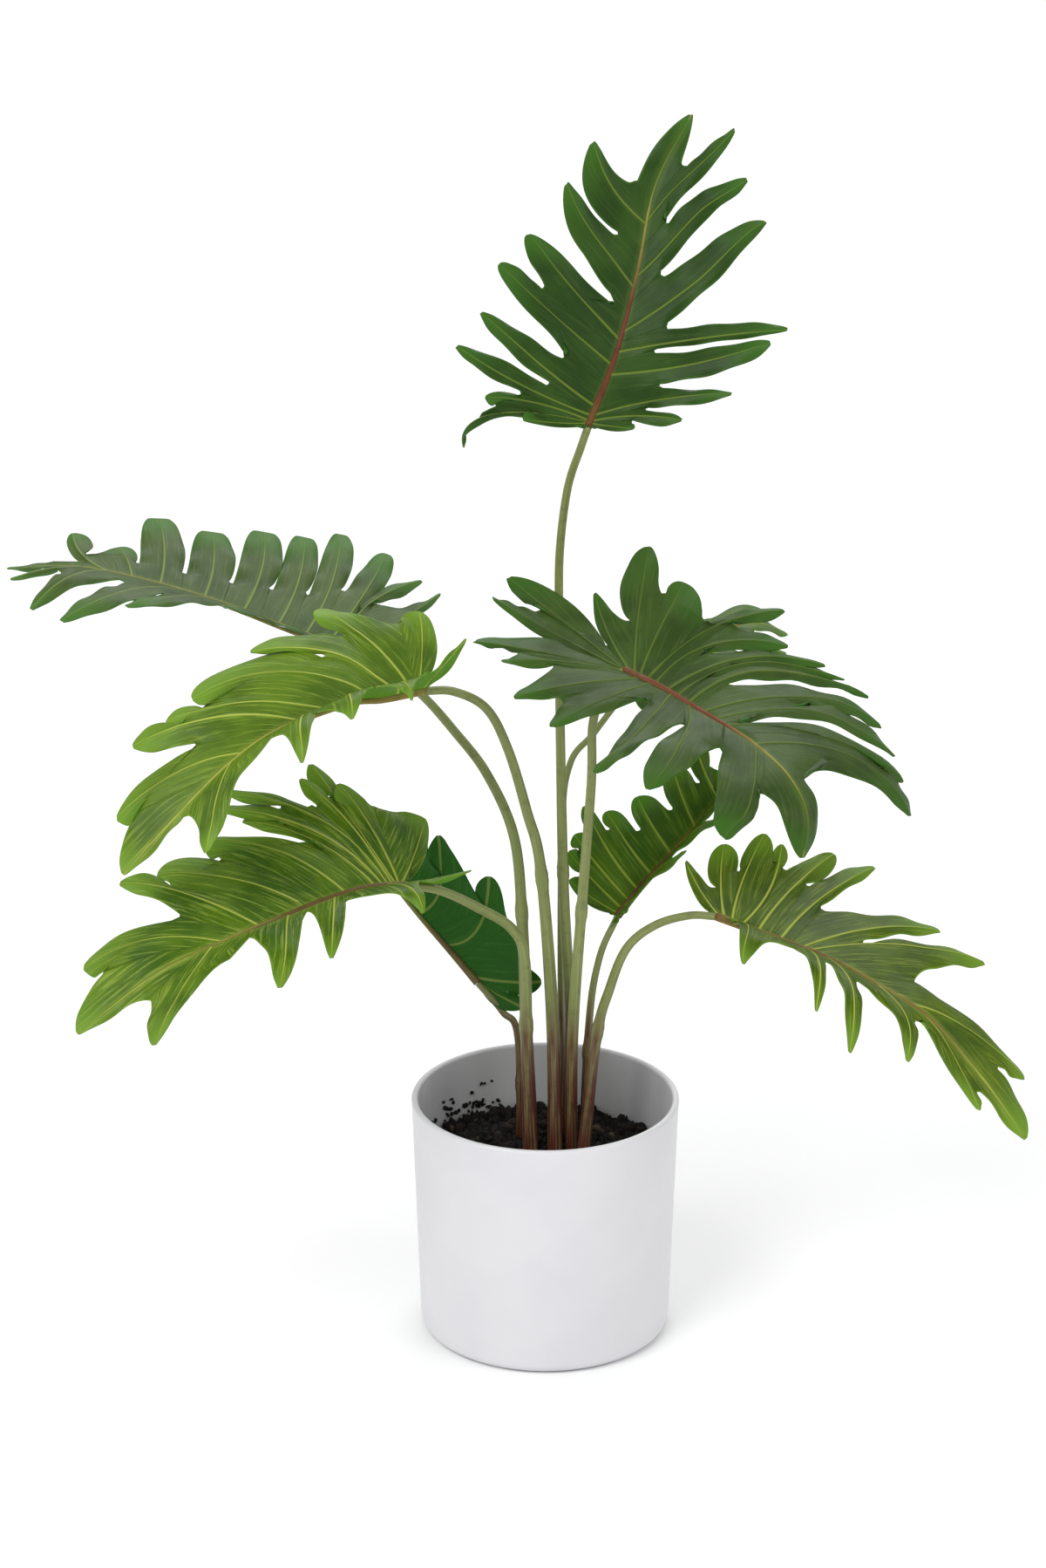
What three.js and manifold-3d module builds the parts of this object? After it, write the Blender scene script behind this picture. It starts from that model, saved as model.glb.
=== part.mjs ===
// A potted philodendron with nine cut leaves, in millimetres, +Z up.
// The origin is the centre of the pot's underside.
import * as THREE from "three";
import { mergeVertices } from "three/addons/utils/BufferGeometryUtils.js";
import Module from "manifold-3d";

const wasm = await Module();
wasm.setup();

// Driving dimensions of the pot and the soil
const POT_HEIGHT = 120;
const POT_RIM_RADIUS = 65;
const POT_FOOT_RADIUS = 61;
const POT_WALL = 3.2;
const POT_FLOOR = 6;
const POT_FOOT_ROUND = 5;
const POT_INNER_ROUND = 6;
const POT_SEGMENTS = 36;
const SOIL_LEVEL = 86;
const SOIL_HUMP = 5;
const SOIL_LUMP = 1.3;
const SOIL_RINGS = 5;
const SOIL_SECTORS = 32;
const SEAT_GAP = 0.3;

// Driving dimensions of the leaves and the stalks
const BLADE_THICKNESS = 0.8;
const SMOOTHING = 0.12;
const TOUCH = 0.004;
const TOUCH_SHIFT = 0.03;
const SETTLING_ROUNDS = 12;
const WEB_STEPS = 1;
const FREE_STEPS = 4;
const NOTCH_RADIUS = 1.4;
// A lobe's vein is swept until its notches lie this far off it, by at most this many
// steps of this many degrees.
const NOTCH_CLEARANCE = 1.6;
const SWEEP_TRIES = 16;
const SWEEP_STEP = 3;
const LEAST_HALF_WIDTH = 0.8;
// The notch lies between these shares of the vein's length. The margin's first handle
// lies this share of the free length on, its steps crowd towards the notch, and the
// notch's round takes at most this share of the width there.
const NOTCH_SHARES = [0.06, 0.9];
const MARGIN_HANDLE = 0.22;
const MARGIN_CROWDING = 1.1;
const NOTCH_FILL = 0.45;
// Neighbouring lobes have parted from their shared web after this share of the margin.
const PARTING_SHARE = 0.35;
// The first lobe's inner edge starts this far along its vein and off it.
const BASE_ALONG = 3.5;
const BASE_ACROSS = 2;
// The arc that carries a lobe out into space is summed in this many steps.
const ARC_STEPS = 12;
const RIB_BASE_RADIUS = 2;
const RIB_TIP_RADIUS = 0.6;
const RIB_SIDES = 4;
const RIB_STEP = 22;
const RIB_TAPER = 0.6;
const STALK_SIDES = 7;
const STALK_STEP = 17;
const STALK_TAPER = 0.7;
// The block that squares off a stalk's end is this wide and this long.
const TRIM_REACH = 6;
const TRIM_SIDES = 16;
const KNUCKLE_SWELL = 0.7;
const KNUCKLE_LENGTH = 5;

// One lobe of a leaf's flat cutting pattern: where its side vein leaves the midrib,
// where its tip lies along the midrib and out from it, its half width, the notch
// beyond it, its droop in degrees at the tip, its bluntness (0 round, 0.3 pointed)
// and how much fuller its side nearer the stalk is. An end lobe's left side is the
// fuller one.
function lobe(root, tipAlong, tipOut, half, notchAlong, notchOut, droop = 0, blunt = 0.3, fuller = 0) {
  return { root, tip: [tipAlong, tipOut], half, notch: [notchAlong, notchOut], droop, blunt, fuller };
}

const GREEN = { deep: 0x2f5230, bright: 0x5f9128, shaded: 0x2c6b2a };

// Each leaf: its midrib from stalk to tip, the way its face looks at the base and at
// the tip, how far each half is folded up along the leaf, the sweep of its side veins,
// its end lobe and the lobes of both halves from stalk to tip. The left half is on
// the left of someone at the stalk who looks along the leaf with its face up.
const LEAVES = [
  {
    name: "crown",
    colour: GREEN.deep,
    midrib: [
      [19, -18, 461], [32, 8, 488], [42, 28, 522],
      [50, 42, 558], [67, 52, 590],
    ],
    face: [[0.05, -0.65, 0.75], [-0.1, -0.9, 0.3]],
    fold: { left: [18], right: [18] },
    sweep: { left: 8, right: 8 },
    end: { root: 108, half: 7, blunt: 0.3, fuller: 0.3 },
    left: [
      lobe(1, -12, 29, 4, -7, 25, 0, 0.1, -0.6),
      lobe(1.5, -19, 73, 2.5, -9, 43, -130, 0.2),
      lobe(2, -10, 49, 5, 0, 34),
      lobe(5, 6, 71, 6.5, 10, 24, 0, 0.3, -0.4),
      lobe(10, 29, 66, 8, 27, 22, 0, 0.15, -0.2),
      lobe(33, 64, 64, 8, 59, 41, 0, 0.05),
      lobe(46, 84, 54, 8.5, 63, 7, 0, 0.05),
      lobe(72, 112, 41, 9, 95, 12, 0, 0.25, 0.3),
      lobe(102, 127, 35, 9, 119, 10, 0, 0.25, 0.55),
    ],
    right: [
      lobe(1, 2, 22, 3, 6, 19, 0, 0.2, -0.3),
      lobe(2, 10, 43, 5, 14, 23, 0, 0.25),
      lobe(5, 28, 62, 5, 27, 25),
      lobe(28, 55, 72, 7.5, 44, 17, 0, 0.1),
      lobe(40, 62, 79, 5, 56, 20, 0, 0.15, -0.5),
      lobe(50, 115, 58, 8, 80, 11, 0, 0.1, -0.3),
      lobe(77, 143, 41, 8, 104, 9, 0, 0.2, -0.3),
      lobe(103, 160, 23, 6, 134, 9),
    ],
    stalk: {
      path: [
        [10, 12, 62], [12, 12, 150], [8.5, 12, 231],
        [6.6, 16, 321], [6.2, 19, 357], [6.4, 15, 391],
        [9.8, 0, 426], [15.6, -12.5, 449], [19, -18, 461],
      ],
      foot: 3.4,
      top: 1.8,
      knuckle: 232,
    },
  },
  {
    name: "upper_left",
    colour: GREEN.deep,
    midrib: [
      [-93, 58, 328], [-120, 62, 336], [-153, 66, 348],
      [-185, 68, 358], [-223, 70, 366], [-260, 72, 365],
    ],
    face: [[0, -0.05, 1], [0, -0.05, 1]],
    fold: { left: [26, 27, 21, 17, 14], right: [14] },
    sweep: { left: 10, right: 10 },
    end: { root: 149, half: 5, blunt: 0.3 },
    left: [
      lobe(1, -20, 30, 6, -4, 18),
      lobe(4, 2, 42, 7, 14, 22, -4),
      lobe(20, 32, 46, 8, 38, 22, -6, 0.2),
      lobe(42, 64, 50, 8, 62, 24, -6, 0.2),
      lobe(62, 108, 66, 8, 86, 24, -30, 0.2),
      lobe(84, 135, 83, 10, 114, 20, -45, 0.2),
      lobe(124, 156, 46, 7, 146, 9, -75),
      lobe(136, 169, 17, 4, 154, 4, -40),
    ],
    right: [
      lobe(1, -29, 67, 4, 0, 42),
      lobe(3, -18, 72, 6, 5, 33),
      lobe(12, 4, 83, 9, 17, 44, 0, -0.05),
      lobe(24, 29, 87, 9.5, 32, 32, 0, -0.1),
      lobe(38, 45, 74, 10, 49, 25, 0, -0.15),
      lobe(56, 62, 67, 11, 67, 19, 0, -0.15),
      lobe(76, 83, 54, 12, 89, 15, 0, -0.15),
      lobe(98, 109, 53, 12, 112, 13, 0, -0.15),
      lobe(112, 122, 22, 8, 137, 12, 0, 0),
      lobe(124, 145, 29, 8, 135, 5, 0, 0.1, 0.4),
    ],
    stalk: {
      path: [
        [-5, 5, 62], [-9, 5, 150], [-11, 8, 206],
        [-15, 18, 247], [-28, 32, 274], [-44, 44, 292],
        [-60, 52, 308], [-78, 57, 321], [-93, 58, 328],
      ],
      foot: 3.8,
      top: 2,
      knuckle: 212,
    },
  },
  {
    name: "left",
    colour: GREEN.bright,
    midrib: [
      [-57, -22, 335], [-75, -34, 335], [-91, -46, 337],
      [-122, -66, 331], [-144, -82, 320], [-168, -96, 299],
      [-191, -104, 275],
    ],
    face: [[0, -0.1, 1], [-0.5, -0.5, 0.8]],
    fold: { left: [60, 54, 34, 10, 0], right: [44, 38, 32, 28] },
    sweep: { left: 2, right: 17 },
    end: { root: 129, half: 9, blunt: 0.25, fuller: -0.55 },
    left: [
      lobe(1, -11, 36, 4.5, 4, 18),
      lobe(14, 26, 33, 4.5, 36, 17, -118),
      lobe(40, 54, 30, 5, 64, 15, -112),
      lobe(62, 89, 37, 6, 88, 9, -105),
      lobe(106, 145, 32, 8, 139, 4, -25),
    ],
    right: [
      lobe(3, -17, 41, 10.5, -5, 37, -20, 0.05),
      lobe(6, 33, 55, 10, 28, 37, -30, 0.05),
      lobe(12, 68, 45, 8, 40, 27, -35, 0.15, 0.75),
      lobe(27, 97, 39, 14, 97, 31, -35, 0.05, 0.35),
      lobe(52, 113, 39, 9, 110, 32, -35, 0.2),
      lobe(68, 131, 42, 10, 112, 18, -30, 0.2),
      lobe(100, 162, 22, 10, 154, 17, -20, 0.25),
    ],
    stalk: {
      path: [
        [5, -5, 62], [4, -3, 150], [-2, -1, 236],
        [-9, -2, 268], [-18, -6, 301], [-28, -12, 323],
        [-43, -17, 333], [-57, -22, 335],
      ],
      foot: 4.2,
      top: 2,
      knuckle: 234,
    },
  },
  {
    name: "lower_left",
    colour: GREEN.bright,
    midrib: [
      [-67, -34, 243], [-84, -46, 246], [-102, -58, 245],
      [-124, -72, 241], [-147, -88, 237], [-177, -104, 227],
      [-213, -118, 203],
    ],
    face: [[0.05, -0.2, 1], [-0.4, -0.5, 0.9]],
    fold: { left: [40, 8, 0, 0, 0], right: [28, 24, 20, 12] },
    sweep: { left: 2, right: 15 },
    end: { root: 108, half: 10, blunt: 0.25, fuller: -0.65 },
    left: [
      lobe(1, -30, 16, 4, -4, 10, 20),
      lobe(10, 8, 34, 5, 35, 7, -100),
      lobe(38, 63, 38, 6, 55, 3, -30),
      lobe(63, 93, 40, 7, 87, 4, -30),
      lobe(104, 154, 33, 7, 143, 10, -20, 0.2, -0.4),
    ],
    right: [
      lobe(1, -28, 36, 12, -3, 44, 0, 0.1, -0.4),
      lobe(2.5, 14, 57, 7, 14, 45, 10),
      lobe(4, 19, 72, 5.5, 17, 52),
      lobe(6, 25, 65, 5, 24, 49),
      lobe(8.5, 54, 78, 5.5, 36, 56, -20, 0.2),
      lobe(11.5, 60, 71, 6.5, 41, 50, -25, 0.2, 0.3),
      lobe(16, 54, 59, 7, 32, 31, -25, 0.15, 0.5),
      lobe(32, 73, 58, 10, 73, 43, -25, 0.2, -0.3),
      lobe(53, 105, 51, 11, 104, 39, -25, 0.15, 0.6),
      lobe(79, 123, 55, 9, 109, 22, -20, 0.2, 0.2),
      lobe(99, 158, 28, 10, 151, 19, -15, 0.2),
    ],
    stalk: {
      path: [
        [-6, -7, 62], [-9, -7, 150], [-10, -9, 195],
        [-16, -12, 212], [-32, -20, 226], [-50, -28, 238],
        [-67, -34, 243],
      ],
      foot: 4.4,
      top: 2,
      knuckle: 160,
    },
  },
  {
    name: "low_shaded",
    colour: GREEN.shaded,
    midrib: [
      [-33, 22, 170], [-47, 28, 185], [-62, 34, 201],
      [-74, 40, 215], [-85, 48, 232],
    ],
    face: [[0.66, 0.59, 0.45], [0.66, 0.59, 0.35]],
    fold: { left: [45], right: [45] },
    sweep: { left: 10, right: 10 },
    end: { root: 54, half: 7, blunt: 0.3 },
    left: [
      lobe(1, -24, 10, 7, -12, 8, 0, 0.2),
      lobe(4, -20, 26, 8, 10, 34, 0, 0.2),
      lobe(24, 35, 41, 8, 23, 29, 0, 0.1),
      lobe(44, 72, 33, 8, 52, 23, 0, 0.2),
      lobe(64, 84, 30, 7, 78, 10, 0, 0.2),
    ],
    right: [
      lobe(1, -16, 24, 6, -4, 12, 0, 0.2),
      lobe(4, 2, 40, 7, 14, 16, 0, 0.2),
      lobe(20, 26, 48, 8, 34, 16, 0, 0.2),
      lobe(40, 52, 42, 8, 56, 14, 0, 0.2),
      lobe(62, 82, 26, 7, 76, 8, 0, 0.2),
    ],
    stalk: {
      path: [
        [-12, 14, 62], [-13, 14, 142], [-21, 17, 157],
        [-33, 22, 170],
      ],
      foot: 2.6,
      top: 1.6,
      knuckle: 120,
    },
  },
  {
    name: "right_broad",
    colour: GREEN.deep,
    midrib: [
      [36, -34, 349], [53, -48, 345], [69, -62, 339.5],
      [83, -78, 336], [95, -92, 332], [108, -110, 324],
      [115, -124, 311], [113, -130, 293],
    ],
    face: [[-0.1, -0.2, 1], [0.6, -0.5, 0.5]],
    fold: { left: [14, 6, 0, -8], right: [4, 4, -6, -8] },
    sweep: { left: 12, right: 6 },
    end: { root: 92, half: 12, blunt: 0.2, fuller: -0.1 },
    left: [
      lobe(1, -86, 5, 5, -60, 11),
      lobe(2, -86, 18, 9, -16, 8, 20, 0.2, -0.4),
      lobe(4, -41, 30, 5, -17, 26, 30),
      lobe(6, -32, 63, 11, -12, 46, 35, 0.05, 0.4),
      lobe(9, -5, 54, 11, 13, 44, 30, 0.05, -0.3),
      lobe(13, 31, 77, 5, 20, 53, 0, 0.2),
      lobe(18, 43, 62, 6, 22, 31, 0, 0.2),
      lobe(25, 55, 70, 4.5, 35, 34, -5, 0.2),
      lobe(31, 64, 74, 3.8, 32, 20, -10, 0.2),
      lobe(38, 77, 81, 5.5, 41, 23, -15),
      lobe(47, 86, 78, 8.5, 69, 41, -20, 0.3, 0.3),
      lobe(55, 100, 76, 8, 65, 6, -20, 0.3, 0.4),
      lobe(62, 108, 76, 7, 104, 62, -20, 0.3, 0.3),
      lobe(82, 123, 78, 9, 108, 10, -20),
    ],
    right: [
      lobe(3, -67, 30, 10, -46, 22, 0, 0.2, 0.9),
      lobe(6, -46, 34, 5, -27, 18),
      lobe(10, -24, 51, 7.5, -7, 37, -10, 0.3, 0.4),
      lobe(16, 4, 58, 8, 24, 12, -10),
      lobe(28, 56, 73, 9, 50, 14, -15, 0.15),
      lobe(38, 77, 60, 11, 74, 14, -20, 0.1, 0.2),
      lobe(83, 143, 41, 13, 113, 19, -20, 0, 0.5),
    ],
    stalk: {
      path: [
        [13, 2, 62], [13, -8, 150], [17, -20, 226],
        [21, -28, 291], [21.5, -34, 323], [27, -35, 340],
        [36, -34, 349],
      ],
      foot: 3.5,
      top: 2,
      knuckle: 224,
    },
  },
  {
    name: "middle_small",
    colour: GREEN.deep,
    midrib: [
      [35, 22, 205], [46, 28, 217], [59, 36, 229],
      [74, 46, 243], [94, 58, 265],
    ],
    face: [[-0.2, -0.75, 0.6], [-0.3, -0.8, 0.6]],
    fold: { left: [20], right: [68] },
    sweep: { left: 8, right: 8 },
    end: { root: 70, half: 7, blunt: 0.3 },
    left: [
      lobe(1, -2, 29, 5, 5, 26),
      lobe(4, 9, 38, 5, 13, 35),
      lobe(9, 16, 41, 5, 20, 35),
      lobe(16, 28, 47, 5, 28, 30, 0, 0.2),
      lobe(26, 34, 37, 7, 38, 19, 0, 0.05, -0.2),
      lobe(40, 50, 31, 9, 57, 14, 0, 0.05, -0.2),
      lobe(58, 75, 28, 9, 76, 12, 0, 0.2),
      lobe(76, 94, 30, 7, 86, 12, 0, 0.2),
    ],
    right: [
      lobe(1, -8, 16, 4, 0, 9, 0, 0.2),
      lobe(6, 10, 26, 5, 18, 12, 0, 0.2),
      lobe(22, 38, 38, 5, 38, 13, -15, 0.2),
      lobe(42, 64, 42, 5, 60, 12, -25, 0.2),
      lobe(60, 88, 30, 6, 82, 8, -20, 0.2),
    ],
    stalk: {
      path: [
        [18, 10, 62], [21, 8, 151], [26, 13, 186],
        [35, 22, 205],
      ],
      foot: 2.5,
      top: 1.6,
      knuckle: 140,
    },
  },
  {
    name: "lower_right",
    colour: GREEN.bright,
    midrib: [
      [81, -24, 223], [104, -38, 219], [131, -56, 215],
      [154, -70, 207], [176, -84, 197], [198, -100, 176],
      [220, -112, 148],
    ],
    face: [[0.1, -0.1, 1], [0.5, -0.5, 0.8]],
    fold: { left: [14, 4, 0, 0], right: [44, 34, 16, 0, 0] },
    sweep: { left: 12, right: -16 },
    end: { root: 99, half: 10, blunt: 0.15, fuller: 0.55 },
    left: [
      lobe(1, -32, 25, 4, -11, 18, 30),
      lobe(4, -21, 43, 9, -7, 33, 25, 0.1),
      lobe(8, -7, 58, 8, 6, 47, 25, 0.2),
      lobe(13, 3, 57, 5, 10, 46, 20),
      lobe(22, 24, 69, 8, 23, 44, 10, 0.15),
      lobe(34, 40, 78, 6.5, 36, 34, 0, 0.15, 0.4),
      lobe(46, 87, 64, 9, 66, 23, -10, 0.15, 0.4),
      lobe(50, 112, 62, 9, 98, 17, -10, 0.25, -0.15),
      lobe(106, 167, 26, 7, 154, 15, -10, 0.2, 0.1),
    ],
    right: [
      lobe(8, 35, 41, 5.5, 46, 14, -105, 0.2),
      lobe(46, 76, 42, 4, 64, 10, -92),
      lobe(59, 102, 50, 5.5, 81, 9, -70, 0.2),
      lobe(86, 128, 29, 6, 114, 7, -40),
      lobe(111, 164, 13, 5.5, 157, 6, -20, 0.2, 0.15),
    ],
    stalk: {
      path: [
        [16, -9, 62], [24, -9, 150], [31, -8, 180],
        [39, -11, 202], [52, -15, 215], [68, -20, 222],
        [81, -24, 223],
      ],
      foot: 3.7,
      top: 1.8,
      knuckle: 158,
    },
  },
  {
    name: "rear",
    colour: GREEN.deep,
    midrib: [
      [43, 66, 308], [59, 82, 315], [83, 100, 322],
      [103, 112, 324], [121, 122, 315],
    ],
    face: [[-0.1, -0.35, 1], [0.2, -0.2, 1]],
    fold: { left: [8], right: [8] },
    sweep: { left: 10, right: 10 },
    end: { root: 65, half: 8, blunt: 0.3 },
    left: [
      lobe(1, -15, 41, 6, -8, 10),
      lobe(8, -4, 24, 6, 8, 12),
      lobe(22, 26, 24, 7, 34, 12),
      lobe(40, 56, 22, 7, 58, 12),
      lobe(60, 90, 14, 7, 76, 7),
    ],
    right: [
      lobe(1, -14, 30, 6, -4, 14),
      lobe(10, 4, 40, 7, 12, 18),
      lobe(24, 28, 42, 8, 34, 18),
      lobe(40, 54, 42, 8, 56, 14),
      lobe(58, 74, 38, 7, 74, 7),
    ],
    stalk: {
      path: [
        [9, 20, 62], [8, 24, 147], [8, 34, 245],
        [12, 42, 276], [23, 50, 288], [33, 58, 299],
        [43, 66, 308],
      ],
      foot: 2.2,
      top: 1.5,
      knuckle: 250,
    },
  },
];

function vec(point) {
  return new THREE.Vector3(...point);
}

// A value read along a list of evenly spaced values, at share u from 0 to 1.
function along(list, u) {
  const place = Math.min(Math.max(u, 0), 1) * (list.length - 1);
  const i = Math.min(Math.floor(place), list.length - 1);
  const j = Math.min(i + 1, list.length - 1);
  return list[i] + (list[j] - list[i]) * (place - i);
}

// A closed solid from a list of triangles, its equal corners joined.
function solidOf(triangles) {
  const geometry = new THREE.BufferGeometry();
  const corners = triangles.flat().flatMap((p) => [p.x, p.y, p.z]);
  geometry.setAttribute("position", new THREE.Float32BufferAttribute(corners, 3));
  return solidOfGeometry(geometry);
}

function solidOfGeometry(geometry) {
  const bare = new THREE.BufferGeometry();
  const plain = geometry.index ? geometry.toNonIndexed() : geometry;
  bare.setAttribute("position", plain.getAttribute("position"));
  const merged = mergeVertices(bare, 1e-3);
  const corners = merged.index.array;
  const kept = [];
  for (let i = 0; i < corners.length; i += 3) {
    const [a, b, c] = [corners[i], corners[i + 1], corners[i + 2]];
    if (a !== b && b !== c && c !== a) kept.push(a, b, c);
  }
  return new wasm.Manifold(
    new wasm.Mesh({
      numProp: 3,
      vertProperties: merged.attributes.position.array,
      triVerts: new Uint32Array(kept),
    }),
  );
}

function geometryOf(solid) {
  const made = solid.getMesh();
  const geometry = new THREE.BufferGeometry();
  geometry.setAttribute("position", new THREE.BufferAttribute(made.vertProperties, 3));
  geometry.setIndex(new THREE.BufferAttribute(made.triVerts, 1));
  return geometry;
}

function meshOf(name, solid, colour, roughness) {
  const geometry = geometryOf(solid);
  geometry.computeVertexNormals();
  const material = new THREE.MeshStandardMaterial({ color: colour, roughness, metalness: 0 });
  const mesh = new THREE.Mesh(geometry, material);
  mesh.name = name;
  return mesh;
}

// The outer skin of the largest body: a cut can leave a loose scrap behind, and folded
// lobes can shut in a hollow.
function largestBody(solid) {
  return solid.decompose().reduce((best, body) => (body.volume() > best.volume() ? body : best));
}

// Two sheets that touch along an edge are drawn apart: every corner that lies on another
// corner of the same body, with no edge between them, moves inwards a little.
function partTouching(mesh) {
  const count = mesh.vertProperties.length / 3;
  const corner = (i) => new THREE.Vector3().fromArray(mesh.vertProperties, 3 * i);
  const normals = Array.from({ length: count }, () => new THREE.Vector3());
  const joined = new Set();
  for (let i = 0; i < mesh.triVerts.length; i += 3) {
    const face = [0, 1, 2].map((k) => mesh.triVerts[i + k]);
    const [a, b, c] = face.map(corner);
    const normal = b.sub(a).cross(c.sub(a)).normalize();
    face.forEach((v, k) => {
      normals[v].add(normal);
      joined.add(`${v} ${face[(k + 1) % 3]}`).add(`${face[(k + 1) % 3]} ${v}`);
    });
  }
  const touching = new Set();
  for (let i = 0; i < count; i++) {
    const here = corner(i);
    for (let k = i + 1; k < count; k++) {
      if (Math.abs(mesh.vertProperties[3 * k] - here.x) > TOUCH) continue;
      if (here.distanceTo(corner(k)) < TOUCH && !joined.has(`${i} ${k}`)) touching.add(i).add(k);
    }
  }
  for (const i of touching) {
    corner(i).addScaledVector(normals[i].normalize(), -TOUCH_SHIFT).toArray(mesh.vertProperties, 3 * i);
  }
  return touching.size;
}

// One clean closed body: the largest, with no touching sheets.
function settledBody(solid) {
  let body = largestBody(solid.simplify(SMOOTHING));
  for (let round = 0; round < SETTLING_ROUNDS; round++) {
    body = largestBody(solidOfGeometry(geometryOf(body)));
    const mesh = body.getMesh();
    if (!partTouching(mesh)) break;
    body = largestBody(new wasm.Manifold(mesh));
  }
  return body;
}

// A tube along a curve, its radius worked out from the share of the length.
function tube(curve, steps, sides, radiusAt) {
  const frames = curve.computeFrenetFrames(steps, false);
  const rings = [];
  for (let i = 0; i <= steps; i++) {
    const centre = curve.getPointAt(i / steps);
    const radius = radiusAt(i / steps, centre);
    const ring = [];
    for (let k = 0; k < sides; k++) {
      const turn = (2 * Math.PI * k) / sides;
      const offset = frames.normals[i].clone().multiplyScalar(radius * Math.cos(turn));
      offset.addScaledVector(frames.binormals[i], radius * Math.sin(turn));
      ring.push(offset.add(centre));
    }
    rings.push(ring);
  }
  const triangles = [];
  const foot = curve.getPointAt(0);
  const top = curve.getPointAt(1);
  for (let k = 0; k < sides; k++) {
    const next = (k + 1) % sides;
    triangles.push([foot, rings[0][next], rings[0][k]]);
    triangles.push([top, rings[steps][k], rings[steps][next]]);
    for (let i = 0; i < steps; i++) {
      triangles.push([rings[i][k], rings[i][next], rings[i + 1][next]]);
      triangles.push([rings[i][k], rings[i + 1][next], rings[i + 1][k]]);
    }
  }
  return solidOf(triangles);
}

// The midrib with the way the face looks at each point of it. A point further out
// than either end lies on the straight line through that end.
class Midrib {
  constructor(leaf) {
    this.curve = new THREE.CatmullRomCurve3(leaf.midrib.map(vec), false, "catmullrom", 0.5);
    this.curve.arcLengthDivisions = 400;
    this.length = this.curve.getLength();
    this.face = leaf.face.map(vec);
  }

  at(distance) {
    const held = Math.min(Math.max(distance, 0), this.length);
    const share = held / this.length;
    const tangent = this.curve.getTangentAt(share);
    const point = this.curve.getPointAt(share).addScaledVector(tangent, distance - held);
    const normal = this.face[0].clone().lerp(this.face[1], share);
    normal.addScaledVector(tangent, -normal.dot(tangent)).normalize();
    return { point, tangent, normal, side: new THREE.Vector3().crossVectors(tangent, normal) };
  }
}

// Left is the minus side of the flat pattern, right its plus side.
function handOf(half) {
  return half === "left" ? -1 : 1;
}

// A point of the flat pattern, [along, out], carried to its place in space: out from
// the midrib along an arc that starts at the fold's angle and turns with the droop.
function place(leaf, midrib, half, flat, droop, reach) {
  const { point, normal, side } = midrib.at(flat[0]);
  const fold = along(leaf.fold[half], flat[0] / midrib.length);
  const out = handOf(half) * flat[1];
  let sideways = 0;
  let upwards = 0;
  for (let k = 0; k < ARC_STEPS; k++) {
    const step = (out * (k + 0.5)) / ARC_STEPS;
    const angle = THREE.MathUtils.degToRad(fold + droop * (step / reach) ** 2);
    sideways += Math.cos(angle) / ARC_STEPS;
    upwards += Math.sin(angle) / ARC_STEPS;
  }
  return point.addScaledVector(side, flat[1] * sideways).addScaledVector(normal, out * upwards);
}

// A lobe's side vein in the flat pattern: a curve from the midrib to the tip, swept by
// an angle and read by its distance from the root.
class Vein {
  constructor(root, tip, sweep) {
    const start = new THREE.Vector2(root, 0);
    const end = new THREE.Vector2(...tip);
    const middle = end.clone().sub(start).multiplyScalar(0.5);
    middle.rotateAround(new THREE.Vector2(), THREE.MathUtils.degToRad(sweep)).add(start);
    this.curve = new THREE.QuadraticBezierCurve(start, middle, end);
    this.curve.arcLengthDivisions = 60;
    this.length = this.curve.getLength();
  }

  at(distance) {
    return this.curve.getPointAt(Math.min(Math.max(distance / this.length, 0), 1));
  }

  // The direction square to the vein on one side: 1 is its left, -1 its right.
  across(distance, side) {
    const tangent = this.curve.getTangentAt(Math.min(Math.max(distance / this.length, 0), 1));
    return new THREE.Vector2(-tangent.y * side, tangent.x * side);
  }

  // The distance along the vein that lies nearest to a point.
  nearest(point) {
    let best = 0;
    let least = Infinity;
    for (let i = 0; i <= 60; i++) {
      const gap = this.curve.getPointAt(i / 60).distanceTo(point);
      if (gap < least) {
        least = gap;
        best = (i / 60) * this.length;
      }
    }
    return best;
  }

  // How far a point lies off the vein on one side.
  clearance(point, side) {
    const distance = this.nearest(point);
    return point.clone().sub(this.at(distance)).dot(this.across(distance, side));
  }

  beside(distance, offset, side) {
    return this.at(distance).addScaledVector(this.across(distance, side), offset);
  }
}

// A lobe's vein with the webs beside it clear of it, each on its own side: at its notch,
// and by half as much halfway there. Of sweeps a step apart it is the one nearest the
// leaf's own, or else the clearest.
function clearVein(row, sweep, hand, near, far) {
  const freedom = (vein, [foot, notch], side) => {
    const halfway = new THREE.Vector2(foot, 0).lerp(notch, 0.5);
    return Math.min(vein.clearance(notch, side), 2 * vein.clearance(halfway, side));
  };
  let best = null;
  let most = -Infinity;
  for (let k = 0; k <= 2 * SWEEP_TRIES; k++) {
    const turn = (k % 2 ? -1 : 1) * Math.ceil(k / 2) * SWEEP_STEP;
    const vein = new Vein(row.root, row.tip, (sweep + turn) * hand);
    const clear = Math.min(freedom(vein, near, hand), freedom(vein, far, -hand));
    if (clear >= NOTCH_CLEARANCE) return vein;
    if (clear > most) {
      best = vein;
      most = clear;
    }
  }
  return best;
}

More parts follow.
